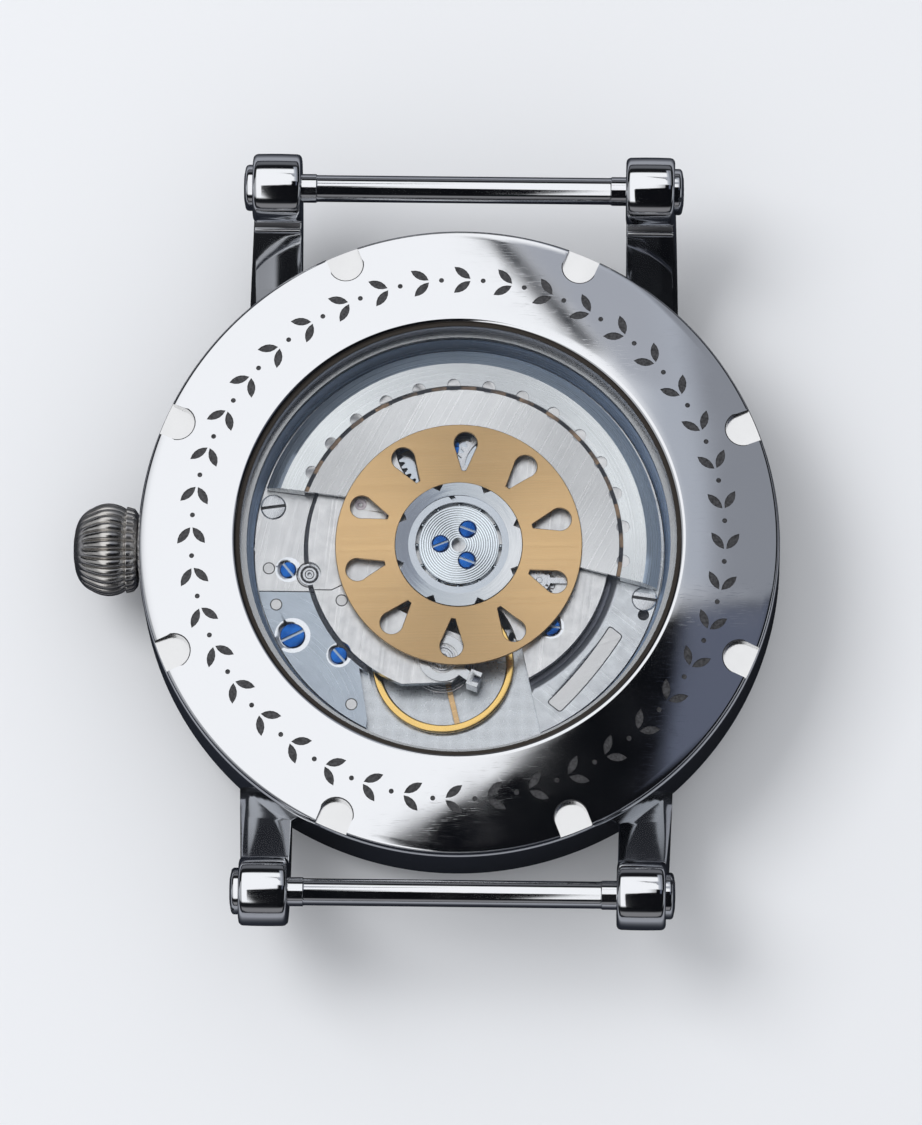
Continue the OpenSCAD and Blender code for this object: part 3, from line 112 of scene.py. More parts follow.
class Look:
    """A node tree with short ways to add nodes and to wire them."""

    def __init__(self, tree, made=None):
        self.tree, self.made = tree, made
        self.position = None

    def add(self, kind, inputs=None, **settings):
        """A node with its settings and inputs, where an input is a socket or a constant."""
        node = self.tree.nodes.new("ShaderNode" + kind)
        for name, value in settings.items():
            setattr(node, name, value)
        for key, value in (inputs or {}).items():
            if isinstance(value, bpy.types.NodeSocket):
                self.tree.links.new(value, node.inputs[key])
            else:
                node.inputs[key].default_value = value
        return node

    def math(self, operation, a, b=0.0):
        return self.add("Math", {0: a, 1: b}, operation=operation).outputs[0]

    def sum(self, a, b):
        return self.math("ADD", a, b)

    def product(self, a, b):
        return self.math("MULTIPLY", a, b)

    def vector(self, operation, a, b):
        return self.add("VectorMath", {0: a, 1: b}, operation=operation).outputs["Vector"]

    def place(self):
        """The point in the object's own frame, in millimetres."""
        if self.position is None:
            self.position = self.vector("MULTIPLY", self.add("TexCoord").outputs["Object"], (1 / MM,) * 3)
        return self.position

    def polar(self, centre=(0, 0)):
        """Radius in millimetres and angle in radians about a vertical axis."""
        offset = self.vector("SUBTRACT", self.place(), (*centre, 0))
        x, y, _ = self.add("SeparateXYZ", {0: offset}).outputs
        square = self.sum(self.product(x, x), self.product(y, y))
        return self.math("SQRT", square), self.math("ARCTAN2", y, x)

    def noise(self, vector, scale, detail=2.0, roughness=0.5):
        inputs = {"Vector": vector, "Scale": scale, "Detail": detail, "Roughness": roughness}
        return self.add("TexNoise", inputs).outputs["Fac"]

    def clouds(self, scale, detail=2.0, roughness=0.5):
        return self.noise(self.place(), scale, detail, roughness)

    def grain(self, angle, along, across):
        """Noise drawn out along a direction in the XY plane."""
        turned = self.add("Mapping", {"Vector": self.place(), "Rotation": (0, 0, -radians(angle))})
        lines_at = self.vector("MULTIPLY", turned.outputs[0], (along, across, across))
        return self.noise(lines_at, 1.0, 3.0, 0.6)

    def circles(self, centre, fineness, drift=0.8):
        """Noise drawn out round a centre."""
        radius, angle = self.polar(centre)
        drawn = {0: self.product(radius, fineness), 1: self.product(angle, drift)}
        lines_at = self.add("CombineXYZ", drawn)
        return self.noise(lines_at.outputs[0], 1.0, 3.0, 0.6)

    def ramp(self, value, stops):
        """Grey or colour stops, each (position, value or colour)."""
        node = self.add("ValToRGB", {"Fac": value})
        elements = node.color_ramp.elements
        while len(elements) < len(stops):
            elements.new(0.5)
        for element, (position, colour) in zip(elements, stops):
            element.position = position
            element.color = (*colour, 1) if isinstance(colour, tuple) else (colour, colour, colour, 1)
        return node.outputs["Color"]

    def range(self, value, low=0.0, high=1.0, start=0.3, end=0.7, kind="LINEAR"):
        """A value spread from its usual start and end to low and high."""
        inputs = {"Value": value, "From Min": start, "From Max": end, "To Min": low, "To Max": high}
        return self.add("MapRange", inputs, interpolation_type=kind).outputs[0]

    def mix(self, factor, a, b):
        """A colour between two, each a socket or a colour."""
        a, b = ((*value, 1) if isinstance(value, tuple) else value for value in (a, b))
        return self.add("Mix", {0: factor, 6: a, 7: b}, data_type="RGBA").outputs[2]

    def bump(self, height, distance, strength):
        """Bump of a height from 0 to 1, with its depth in millimetres."""
        inputs = {"Height": height, "Distance": distance * MM, "Strength": strength}
        return self.add("Bump", inputs).outputs[0]

    def surface(self, key):
        return self.tree.nodes["Principled BSDF"].inputs[key.replace("_", " ")]

    def finish(self, **sockets):
        """The material, with sockets wired into its surface."""
        for key, socket in sockets.items():
            self.tree.links.new(socket, self.surface(key))
        return self.made


def material(name, colour, metallic=1.0, roughness=0.3, **constants):
    """A principled material, as the look that finishes it."""
    made = bpy.data.materials.new(name)
    made.use_nodes = True
    look = Look(made.node_tree, made)
    constants |= {"Base_Color": (*colour, 1), "Metallic": metallic, "Roughness": roughness}
    for key, value in constants.items():
        look.surface(key).default_value = value
    return look


def tints(colour, *factors):
    return [tuple(min(1.0, c * factor) for c in colour) for factor in factors]


# Materials

STEP_R, COVE_R = 9.42, 10.25
STEEL, MOVEMENT_STEEL = (0.80, 0.81, 0.83), (0.49, 0.53, 0.58)
# Greys of the painted shade in the cove round the train bridge's step
STEP_SHADE_GREYS = [(0.0, (0.06, 0.065, 0.08)), (0.35, (0.20, 0.21, 0.25)), (0.7, (0.38, 0.40, 0.44)),
              (1.0, (0.66, 0.69, 0.73))]
# Greys of the lock ring's painted reflection
LOCK_REFLECTION_GREYS = [(0.0, (0.20, 0.22, 0.26)), (0.16, (0.24, 0.27, 0.32)), (0.3, (0.40, 0.44, 0.48)),
              (0.75, (0.50, 0.53, 0.56)), (1.0, (0.66, 0.68, 0.70))]


def polished(name, colour, roughness=0.05):
    """Mirror-polished metal with faint wiping marks and hairlines."""
    look = material(name, colour, roughness=roughness)
    smears = look.clouds(0.35, 4.0)
    streaks = look.vector("MULTIPLY", look.place(), (0.6, 14.0, 3.0))
    hairs = look.ramp(look.noise(streaks, 1.6, 3.0), [(0.62, 0.0), (0.72, 1.0)])
    return look.finish(Roughness=look.range(smears, roughness * 0.7, roughness * 1.8),
                       Normal=look.bump(hairs, 0.0006, 0.35))


def worked(name, colour, lines, roughness, contrast, depth, mottle=(0.05, 0.45), lobes=None, metallic=1.0):
    """Metal with a grain made by a tool, as the pattern lines gives it.

    mottle is the strength and scale of its cloudiness, and lobes the count, first angle and strength of
    the brighter sectors round the watch's centre, a painted sheen.
    """
    look = material(name, colour, metallic=metallic, roughness=roughness)
    pattern = lines(look)
    clouds = look.clouds(mottle[1], 3.0, 0.6)
    shade = look.sum(look.range(pattern, -contrast, contrast), look.range(clouds, -mottle[0], mottle[0]))
    # Painted sheen: brighter and darker sectors by angle round the watch's centre
    if lobes:
        count, first, strength = lobes
        turn = look.product(look.math("SUBTRACT", look.polar()[1], radians(first)), float(count))
        shade = look.sum(shade, look.product(look.math("COSINE", turn), strength))
    level = look.range(shade, 0.0, 1.0, -0.5, 0.5)
    return look.finish(Base_Color=look.mix(level, *tints(colour, 0.6, 1.4)),
                       Roughness=look.range(pattern, roughness * 0.8, roughness * 1.3),
                       Normal=look.bump(pattern, depth, 0.6))


def brushed(name, colour, angle, roughness=0.28, contrast=0.12, across=16.0, depth=0.003, **more):
    return worked(name, colour, lambda look: look.grain(angle, 0.05, across), roughness, contrast, depth,
                  **more)


def turned(name, colour, roughness=0.25, contrast=0.12, fineness=14.0, depth=0.003, centre=(0, 0), **more):
    return worked(name, colour, lambda look: look.circles(centre, fineness), roughness, contrast, depth,
                  **more)


def pearled(name, colour, roughness=0.3, spot=1.05, contrast=0.1):
    """Perlage: overlapping round-grained spots, on plated brass."""
    look = material(name, colour, roughness=roughness)
    cells = look.add("TexVoronoi", {"Vector": look.place(), "Scale": 1 / spot, "Randomness": 0.12},
                     voronoi_dimensions="2D").outputs["Distance"]
    rings = look.math("SINE", look.product(cells, 46.0))
    fine = look.clouds(9.0, 3.0, 0.6)
    slope = look.sum(look.product(cells, 1.1), look.range(fine, -0.5, 0.5))
    return look.finish(
        Base_Color=look.mix(look.range(slope, 0.0, 1.0, -0.5, 1.3),
                            *tints(colour, 1 - contrast, 1 + contrast)),
        Roughness=look.range(fine, roughness * 0.85, roughness * 1.25),
        Normal=look.bump(look.sum(look.product(rings, 0.25), fine), 0.004, 0.5))


def snailed(name, colour, pitch=0.146, roughness=0.16):
    """Fine turned rings, as on a snailed cap, with a painted two-lobed sheen round its centre."""
    look = material(name, colour, roughness=roughness)
    radius, angle = look.polar()
    wave = look.math("SINE", look.product(radius, TAU / pitch))
    # Painted sheen: two brighter lobes round the centre, mixed into the colour
    painted_sheen = look.math("SINE", look.sum(look.product(angle, 2.0), 0.6))
    fine = look.clouds(6.0)
    level = look.sum(look.range(wave, 0.0, 0.7, -1, 1),
                     look.range(painted_sheen, 0.0, 0.3, -1, 1))
    return look.finish(Normal=look.bump(wave, 0.008, 0.5),
                       Base_Color=look.mix(level, *tints(colour, 0.66, 1.2)),
                       Roughness=look.range(fine, roughness * 0.8, roughness * 1.4))


def gilded(name, colour):
    """Gilt brass, straight-brushed, with a painted sheen towards 3 and 9 o'clock."""
    look = material(name, colour, roughness=0.34)
    lines = look.grain(2, 0.06, 12.0)
    # Painted sheen: brighter towards 3 and 9 o'clock
    lobes = look.math("COSINE", look.product(look.sum(look.polar()[1], 0.12), 2.0))
    shade = look.sum(look.range(lines, 0.3, 0.55), look.range(lobes, -0.3, 0.45, -1, 1))
    return look.finish(Base_Color=look.mix(shade, *tints(colour, 0.8, 1.3)),
                       Roughness=look.range(lines, 0.28, 0.42), Normal=look.bump(lines, 0.003, 0.6))


def lock_metal(name):
    """The hub's lock ring, with a painted reflection: bright towards 3 o'clock and slate towards 9
    o'clock.
    """
    look = material(name, MOVEMENT_STEEL, roughness=0.12)
    # Painted reflection: bright on one side, slate on the other, with bands round the ring
    side = look.math("COSINE", look.sum(look.polar()[1], 0.2))
    bands = look.noise(look.circles((0, 0), 6.0), 2.0, 2.0)
    shade = look.sum(side, look.range(bands, -0.25, 0.25))
    return look.finish(Base_Color=look.ramp(look.range(shade, 0.0, 1.0, -1, 1), LOCK_REFLECTION_GREYS))


def blued(name):
    """Heat-blued steel: a thin oxide over a fine polish, paler and greener where it thins."""
    look = material(name, (0.014, 0.10, 0.40), roughness=0.2)
    patches = look.range(look.clouds(0.9, 3.0), 0, 1, 0.35, 0.65)
    fine = look.grain(35, 0.3, 20.0)
    return look.finish(Roughness=look.range(fine, 0.14, 0.28),
                       Base_Color=look.mix(patches, (0.006, 0.06, 0.27), (0.02, 0.14, 0.50)))


def jewel(name):
    """Pale synthetic sapphire of a bearing stone."""
    look = material(name, (0.62, 0.56, 0.60), metallic=0.0, roughness=0.04, IOR=1.76, Coat_Weight=0.5)
    depth = look.range(look.clouds(2.5))
    return look.finish(Base_Color=look.mix(depth, (0.44, 0.38, 0.43), (0.72, 0.66, 0.70)))


def rubber(name, colour):
    look = material(name, colour, metallic=0.0, roughness=0.55)
    fine = look.clouds(12.0, 3.0, 0.6)
    return look.finish(
        Normal=look.bump(fine, 0.006, 0.5), Roughness=look.range(fine, 0.45, 0.7),
        Base_Color=look.mix(look.range(fine), *tints(colour, 0.8, 1.25)))


def sapphire(name):
    """Clear coated crystal: nearly invisible face on, with more gloss at a glancing angle."""
    look = material(name, (0.55, 0.62, 0.75), metallic=0.0, roughness=0.02, IOR=1.76)
    facing = look.add("LayerWeight", {"Blend": 0.25}).outputs["Facing"]
    dust = look.clouds(0.8, 4.0)
    return look.finish(Alpha=look.sum(look.range(facing, 0.0, 0.5, 0.06, 1.0),
                                      look.range(dust, 0.008, 0.016, 0.4, 0.8)))


def lacquer(name, colour):
    """Dial lacquer over a fine sunburst grain."""
    look = material(name, colour, metallic=0.55, roughness=0.28, Coat_Weight=0.6, Coat_Roughness=0.04)
    radius, angle = look.polar()
    rays_at = look.add("CombineXYZ", {0: look.product(angle, 60.0), 1: look.product(radius, 0.06)})
    rays = look.noise(rays_at.outputs[0], 1.0, 3.0, 0.7)
    return look.finish(
        Normal=look.bump(rays, 0.006, 0.5),
        Base_Color=look.mix(look.range(rays), *tints(colour, 0.7, 1.5)))


def engraved(name, dark=(0.02, 0.02, 0.022), light=(0.08, 0.08, 0.085)):
    """A dark, dull floor: of an engraving, and as painted shade in the bridges' grooves and the line round
    the notches.
    """
    look = material(name, dark, metallic=0.25, roughness=0.45)
    fine = look.clouds(7.0, 3.0)
    return look.finish(Normal=look.bump(fine, 0.01, 0.6),
                       Base_Color=look.mix(look.range(fine), dark, light))


def cove_shade(name):
    """The hollow round the train bridge's step, in painted shade: slate at its foot, paler towards its
    outer edge.
    """
    look = material(name, (0.15, 0.16, 0.19), metallic=0.85, roughness=0.3)
    across = look.range(look.polar()[0], 0, 1, STEP_R, COVE_R)
    lines = look.circles((0, 0), 8.0)
    shade = look.sum(across, look.range(lines, -0.12, 0.12))
    return look.finish(Normal=look.bump(lines, 0.002, 0.5), Base_Color=look.ramp(shade, STEP_SHADE_GREYS))


def dashed(name):
    """The floor of the rotor's seam: dark, a painted shade, with brown dashes."""
    look = material(name, (0.05, 0.05, 0.055), metallic=0.8, roughness=0.4)
    dashes = look.math("SINE", look.product(look.polar()[1], 34.0))
    shade = look.product(look.range(dashes, 0, 1, -0.1, 0.1),
                         look.range(look.clouds(0.9), 0, 1, 0.35, 0.6))
    return look.finish(Base_Color=look.mix(shade, (0.045, 0.048, 0.055), (0.30, 0.21, 0.14)))


RECIPES = {
    "polished_steel": (polished, STEEL),
    "satin_steel": (brushed, (0.66, 0.68, 0.71), 70, 0.26, 0.08),
    "crown_steel": (polished, (0.63, 0.61, 0.585), 0.2),
    # ledge_steel: darker than the case's steel, a painted shade inside the window
    "ledge_steel": (turned, (0.36, 0.37, 0.38), 0.2, 0.15, 9.0),
    "turned_steel": (turned, MOVEMENT_STEEL),
    "movement_polish": (polished, MOVEMENT_STEEL, 0.1),
    "sapphire": (sapphire,),
    "gasket": (rubber, (0.022, 0.016, 0.011)),
    "dial": (lacquer, (0.012, 0.03, 0.11)),
    "hands": (polished, (0.83, 0.84, 0.85), 0.07),
    "rhodium": (pearled, (0.60, 0.64, 0.69)),
    "bridge_train": (brushed, (0.66, 0.69, 0.73), -38, 0.3, 0.07, 9.0, {"mottle": (0.16, 1.1)}),
    "bridge_left": (brushed, (0.74, 0.77, 0.80), 78, 0.3, 0.07, 9.0, {"mottle": (0.12, 0.6)}),
    # bridge_low darker and bluer, bridge_high paler: the same plating with painted reflection and painted
    # highlight
    "bridge_low": (turned, (0.47, 0.53, 0.60), 0.3, 0.1, 6.0,
                   {"centre": (-14, -12), "mottle": (0.08, 0.8)}),
    "bridge_high": (brushed, (0.92, 0.94, 0.96), 84, 0.32, 0.08, 8.0, {"mottle": (0.2, 1.4)}),
    "plate_mottled": (pearled, (0.66, 0.69, 0.72), 0.3, 0.9, 0.2),
    # rotor_silver and rotor_rim: a painted sheen in lobes round the watch's centre
    "rotor_silver": (brushed, (0.70, 0.71, 0.72), 62, 0.3, 0.1, 11.0, {"lobes": (3, 95, 0.18)}),
    "rotor_rim": (turned, (0.68, 0.71, 0.75), 0.28, 0.07, 12.0, {"lobes": (3, 140, 0.22)}),
    # slate: a blue-grey painted reflection of dark surroundings on the rotor's bevel and sides, with a
    # painted sheen lobe
    "slate": (turned, (0.27, 0.33, 0.41), 0.28, 0.08, 9.0, 0.002,
              {"lobes": (1, 10, 0.5), "metallic": 0.5}),
    # ring_slate: the movement ring's blue-grey is painted shade and reflection, with a painted sheen in
    # two lobes
    "ring_slate": (turned, (0.31, 0.40, 0.54), 0.24, 0.12, 7.0, 0.002,
                   {"lobes": (2, 0, 0.38), "metallic": 0.5}),
    "gilt": (gilded, (0.66, 0.45, 0.23)),
    "train_gilt": (turned, (0.62, 0.46, 0.24), 0.26, 0.12),
    "balance_gold": (polished, (0.85, 0.58, 0.20), 0.12),
    "balance_copper": (brushed, (0.80, 0.50, 0.26), 14, 0.3, 0.1),
    "blued_steel": (blued,),
    "regulator_steel": (brushed, (0.60, 0.62, 0.64), 40, 0.2, 0.05),
    "spring_steel": (polished, (0.30, 0.29, 0.29), 0.15),
    "slot_floor": (brushed, (0.42, 0.50, 0.62), 20, 0.3, 0.1),
    "ruby": (jewel,),
    "engraved": (engraved,),
    # cove: the bridges' grooves in dark painted shade
    "cove": (engraved, (0.025, 0.028, 0.035), (0.07, 0.075, 0.09)),
    # cove_wide: painted shade across the cove round the train bridge's step
    "cove_wide": (cove_shade,),
    "notch_satin": (brushed, (0.93, 0.93, 0.93), 70, 0.16, 0.04, 24.0, 0.0002),
    # dashed: the rotor's seam floor, dark as painted shade, with brown dashes
    "dashed": (dashed,),
    "snailed": (snailed, (0.74, 0.80, 0.87)),
    "lock_ring": (lock_metal,),
    "edge": (polished, (0.74, 0.77, 0.81), 0.08),
    "white_steel": (brushed, (0.90, 0.91, 0.92), 20, 0.35, 0.06),
}
MATERIALS = {}
for finish, (maker, *values) in RECIPES.items():
    more = values.pop() if values and isinstance(values[-1], dict) else {}
    MATERIALS[finish] = maker(finish, *values, **more)

FINISH = {
    "bearing_core": "snailed", "rotor_hub": "turned_steel", "movement_ring": "ring_slate",
    "barrel_bridge": "bridge_left", "train_bridge": "bridge_train", "balance_cock": "bridge_low",
    "auto_bridge": "bridge_high", "mainplate": "plate_mottled", "regulator": "regulator_steel",
    "hairspring": "spring_steel", "balance_wheel": "balance_copper", "ratchet_wheel": "movement_polish",
    "crown_wheel": "movement_polish", "intermediate_wheel": "movement_polish",
}


# Mesh building, in millimetres

PLAIN = ("polished_steel",)


def finish_mesh(piece, sharp=30):
    """Smooth shading that keeps edges over an angle sharp."""
    for polygon in piece.data.polygons:
        polygon.use_smooth = True
    piece.data.set_sharp_from_angle(angle=radians(sharp))


def register(piece, node, slot=None):
    """Puts a piece in place of a CAD node, on the node's body."""
    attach(piece, BODY_OF[node])
    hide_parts(node)
    slot or SLOT_OF[node]


def solid(name, points, faces, finishes, marks=None, sharp=30):
    """A closed piece from points and faces, where marks gives each face's finish by its index."""
    mesh = bpy.data.meshes.new(name)
    mesh.from_pydata([tuple(c * MM for c in point) for point in points], [], faces)
    for finish in finishes:
        mesh.materials.append(MATERIALS[finish])
    if marks:
        mesh.polygons.foreach_set("material_index", marks)
    work = bmesh.new()
    work.from_mesh(mesh)
    bmesh.ops.remove_doubles(work, verts=work.verts, dist=0.0001 * MM)
    bmesh.ops.recalc_face_normals(work, faces=work.faces)
    work.to_mesh(mesh)
    work.free()
    piece = link(name, mesh)
    finish_mesh(piece, sharp)
    return piece


def band(low, high, count):
    """The sides between two rings of points, by the rings' first points."""
    return [(low + i, low + (i + 1) % count, high + (i + 1) % count, high + i) for i in range(count)]


def lathe(name, profile, finishes=PLAIN, segments=64, marks=None, shape=None, centre=(0, 0), sharp=30):
    """A body turned about Z from a closed outline of (radius, height) points.

    marks gives the finish of each side of the outline, and shape changes a point's radius by its angle.
    """
    points, faces, count = [], [], len(profile)
    for i in range(segments):
        angle = TAU * i / segments
        for r, z in profile:
            reach = shape(r, z, angle) if shape else r
            points.append((centre[0] + reach * cos(angle), centre[1] + reach * sin(angle), z))
        faces += band(i * count, (i + 1) % segments * count, count)
    return solid(name, points, faces, finishes, (marks or [0] * count) * segments, sharp)


def prisms(name, outlines, low, high, finishes, mark=0):
    """One piece of separate prisms over outlines, where low and high may depend on the point."""
    points, faces = [], []
    heights = [level if callable(level) else (lambda x, y, z=level: z) for level in (low, high)]
    for outline in outlines:
        foot, count = len(points), len(outline)
        head = foot + count
        points += [(x, y, height(x, y)) for height in heights for x, y in outline]
        faces += [tuple(range(foot, head)), tuple(range(head, head + count))]
        faces += band(foot, head, count)
    return solid(name, points, faces, finishes, [mark] * len(faces))


def modify(piece, kind, **settings):
    step = piece.modifiers.new(kind.lower(), kind)
    for key, value in settings.items():
        setattr(step, key, value)


def combine(piece, other, operation):
    """Joins another piece to a piece or takes it out of it, and removes it."""
    modify(piece, "BOOLEAN", operation=operation, solver="EXACT", object=other)
    bpy.context.view_layer.update()
    graph = bpy.context.evaluated_depsgraph_get()
    combined = bpy.data.meshes.new_from_object(piece.evaluated_get(graph))
    piece.modifiers.clear()
    piece.data = combined
    bpy.data.objects.remove(other)


def carve(piece, cutter):
    """Takes a cutter out of a piece and leaves the cutter's finish on the cut."""
    combine(piece, cutter, "DIFFERENCE")
    finish_mesh(piece)


def unite(piece, other):
    combine(piece, other, "UNION")


def lay_along_x(piece, place, way=1):
    """Turns a piece's axis from Z to X, or to -X, and moves its foot to a place."""
    turn = Matrix.Rotation(way * pi / 2, 4, "Y")
    piece.data.transform(Matrix.Translation([c * MM for c in place]) @ turn)
    return piece


def rounded(corners, steps=4):
    """An outline of (x, y, radius) corners with each corner eased by a short curve."""
    outline = []
    neighbours = zip(corners[-1:] + corners[:-1], corners, corners[1:] + corners[:1])
    for before, (x, y, radius), after in neighbours:
        corner = Vector((x, y))
        start = corner + (Vector(before[:2]) - corner).normalized() * radius
        end = corner + (Vector(after[:2]) - corner).normalized() * radius
        for k in range(steps + 1 if radius else 1):
            t = k / steps
            outline.append(tuple(start * (1 - t) ** 2 + corner * 2 * t * (1 - t) + end * t * t))
    return outline


def bezier(a, b, c, steps):
    """Points of a quadratic curve in a plane."""
    a, b, c = Vector(a), Vector(b), Vector(c)
    return [tuple(a * (1 - k / steps) ** 2 + b * 2 * (k / steps) * (1 - k / steps) + c * (k / steps) ** 2)
            for k in range(steps + 1)]


def polar_point(radius, angle):
    return radius * cos(radians(angle)), radius * sin(radians(angle))


def turned_outline(outline, centre, angle):
    """An outline turned by an angle in degrees and moved to a centre."""
    c, s = polar_point(1, angle)
    return [(centre[0] + x * c - y * s, centre[1] + x * s + y * c) for x, y in outline]


def box_outline(length, width, centre, angle):
    x, y = length / 2, width / 2
    return turned_outline([(-x, -y), (x, -y), (x, y), (-x, y)], centre, angle)


def circle_outline(radius, centre, count):
    return turned_outline([polar_point(radius, 360 * i / count) for i in range(count)], centre, 0)


def bevel(piece, width, finish_index):
    """A small rounded edge on every sharp corner."""
    modify(piece, "BEVEL", width=width * MM, segments=2, limit_method="ANGLE", angle_limit=radians(30),
           miter_outer="MITER_SHARP", use_clamp_overlap=True, material=finish_index)
    modify(piece, "WEIGHTED_NORMAL", keep_sharp=True)


def dress(node, width=0.0, paint=None, finishes=()):
    """A copy of a CAD node's solid with clean shading, rounded edges and its finishes.

    paint gives a face's finish by its index, from its height and its corners' mean distance from the
    watch's centre, and its normal. The rounded edges of a painted piece have a finish of their own.
    """
    piece = link(node + "_dressed", frame["nodes"][node].data.copy())
    mesh = piece.data
    mesh.materials.clear()
    edged = paint and width
    finishes = [FINISH.get(node) or SLOT_OF[node], *finishes] + (["edge"] if edged else [])
    for finish in finishes:
        mesh.materials.append(MATERIALS[finish])
    work = bmesh.new()
    work.from_mesh(mesh)
    bmesh.ops.remove_doubles(work, verts=work.verts, dist=0.0005 * MM)
    bmesh.ops.dissolve_limit(work, angle_limit=radians(0.5), verts=work.verts, edges=work.edges)
    for face in work.faces:
        corners = [corner.co / MM for corner in face.verts]
        height = sum(corner.z for corner in corners) / len(corners)
        radius = sum(corner.xy.length for corner in corners) / len(corners)
        face.material_index = paint(height, radius, face.normal) if paint else 0
    work.to_mesh(mesh)
    work.free()
    finish_mesh(piece)
    if node == "train_bridge":
        mark_train_bridge(piece)
    if node in SEATS:
        sink_seats(node, piece)
    if width:
        bevel(piece, width, len(finishes) - 1 if edged else -1)
    register(piece, node)


# Case

FACE_OUT_R, FACE_IN_R, FACE_DOME, FACE_ROWS = BACK_R - 0.18, WINDOW_R + 0.3, 0.047, 14
LEDGE_R, LEDGE_Z = WINDOW_R - 0.66, GLASS_Z - 0.65
THREAD_IN_R, THREAD_R, THREAD_Z = 15.7, 16.9, CASE_TOP - 1.55
ENGRAVING, ABOVE_Z = 0.06, 11
NOTCHES, NOTCH_R, NOTCH_L, NOTCH_FLOOR, NOTCH_SHADE_LINE, NOTCH_STEPS = 8, 1.05, 1.9, CASE_TOP + 0.22, 0.07, 14
BORDER_R, BORDER_UNITS, BERRY_R, BERRY_AT = 16.6, 40, 0.16, 4.5
LEAF_L, LEAF_W, LEAF_TILT, LEAF_OUT, LEAF_STEPS = 1.3, 0.52, 38, 0.47, 5
BACK_FINISHES = ["polished_steel", "notch_satin", "engraved", "ledge_steel"]


def face_z(x, y):
    """Height of the back ring's face, which is gently domed between its edge and the window."""
    u = (FACE_OUT_R - hypot(x, y)) / (FACE_OUT_R - FACE_IN_R)
    return EDGE_Z + (RIM_Z - 0.01 - EDGE_Z) * u + 4 * FACE_DOME * u * (1 - u)


def engraving_z(x, y):
    return face_z(x, y) - ENGRAVING


def leaf_outline(centre, angle):
    """A pointed leaf."""
    parts = [k / LEAF_STEPS for k in range(LEAF_STEPS + 1)]
    side = [(LEAF_L * (t - 0.5), LEAF_W / 2 * sin(pi * t) ** 0.8) for t in parts]
    return turned_outline(side + [(x, -y) for x, y in reversed(side[1:-1])], centre, angle)


def make_case_back():
    """The screwed ring: mirror-polished dome, satin key notches edged by a dark line of painted shadow,
    and an engraved laurel border.
    """
    radii = [FACE_OUT_R + (FACE_IN_R - FACE_OUT_R) * k / FACE_ROWS for k in range(FACE_ROWS + 1)]
    rim = [(BACK_R - 0.1, CASE_TOP), (BACK_R, CASE_TOP + 0.1), (BACK_R, EDGE_Z - 0.16),
           (BACK_R - 0.03, EDGE_Z - 0.08), (BACK_R - 0.09, EDGE_Z - 0.025)]
    lip = [(WINDOW_R + 0.18, RIM_Z), (WINDOW_R + 0.08, RIM_Z - 0.03), (WINDOW_R + 0.02, RIM_Z - 0.07),
           (WINDOW_R, RIM_Z - 0.12), (WINDOW_R, GLASS_Z)]
    foot = [(LEDGE_R, GLASS_Z), (LEDGE_R, LEDGE_Z), (THREAD_IN_R, LEDGE_Z), (THREAD_IN_R, THREAD_Z),
            (THREAD_R, THREAD_Z), (THREAD_R, CASE_TOP)]
    outline = rim + [(r, face_z(r, 0)) for r in radii] + lip + foot
    marks = [0] * len(outline)
    first = len(outline) - len(foot)
    # The ledge's top and inner wall take the darker ledge steel, a painted shade inside the window
    marks[first - 1:first + 1] = [3, 3]
    ring = lathe("back_ring", outline, BACK_FINISHES, 288, marks)
    arc = [90 + 180 * k / NOTCH_STEPS for k in range(1, NOTCH_STEPS)]
    # Each notch is first cut a little wider and shallow in the dark engraved finish, a painted shadow line
    # round its edge, then down to its satin floor
    for edge, low, finish in ((NOTCH_R + NOTCH_SHADE_LINE, engraving_z, 2), (NOTCH_R, NOTCH_FLOOR, 1)):
        notch = [(3.0, NOTCH_R), (0, NOTCH_R), *[polar_point(edge, angle) for angle in arc], (0, -NOTCH_R),
                 (3.0, -NOTCH_R)]
        turns = [360 * (i + 0.5) / NOTCHES for i in range(NOTCHES)]
        reach = BACK_R - NOTCH_L + NOTCH_R
        notches = [turned_outline(notch, polar_point(reach, turn), turn) for turn in turns]
        carve(ring, prisms("notch_cutter", notches, low, ABOVE_Z, BACK_FINISHES, finish))
    marks = []
    for i in range(BORDER_UNITS):
        turn = 360 * i / BORDER_UNITS
        for side in (-1, 1):
            place = polar_point(BORDER_R + side * LEAF_OUT, turn)
            marks.append(leaf_outline(place, turn + 90 - side * LEAF_TILT))
        marks.append(circle_outline(BERRY_R, polar_point(BORDER_R, turn + BERRY_AT), 10))
    carve(ring, prisms("border_cutter", marks, engraving_z, ABOVE_Z, BACK_FINISHES, 2))
    register(ring, "case_back")


def column(radius, low, high):
    return [(0, low), (radius, low), (radius, high), (0, high)]


def make_case_middle():
    wall_r, seat_r, lip_r, groove_r = 15.55, 16.95, 17.3, 17.9
    seat_z, groove_z = CASE_TOP - 1.65, CASE_TOP - 0.5
    outline = rounded([
        (CASE_R - 0.25, CASE_LOW, 0.05), (CASE_R, CASE_LOW + 0.3, 0.1), (CASE_R, CASE_TOP - 0.25, 0.08),
        (CASE_R - 0.2, CASE_TOP, 0.05), (groove_r, CASE_TOP, 0), (groove_r, groove_z, 0),
        (lip_r, groove_z, 0), (lip_r, CASE_TOP, 0), (seat_r, CASE_TOP, 0), (seat_r, seat_z, 0),
        (wall_r, seat_z, 0), (wall_r, CASE_LOW, 0)])
    body = lathe("middle_case", outline, segments=240)
    carve(body, lay_along_x(lathe("tube_cutter", column(1.3, 0, 8), segments=48), (-21, 0, STEM_Z)))
    register(body, "case_middle")


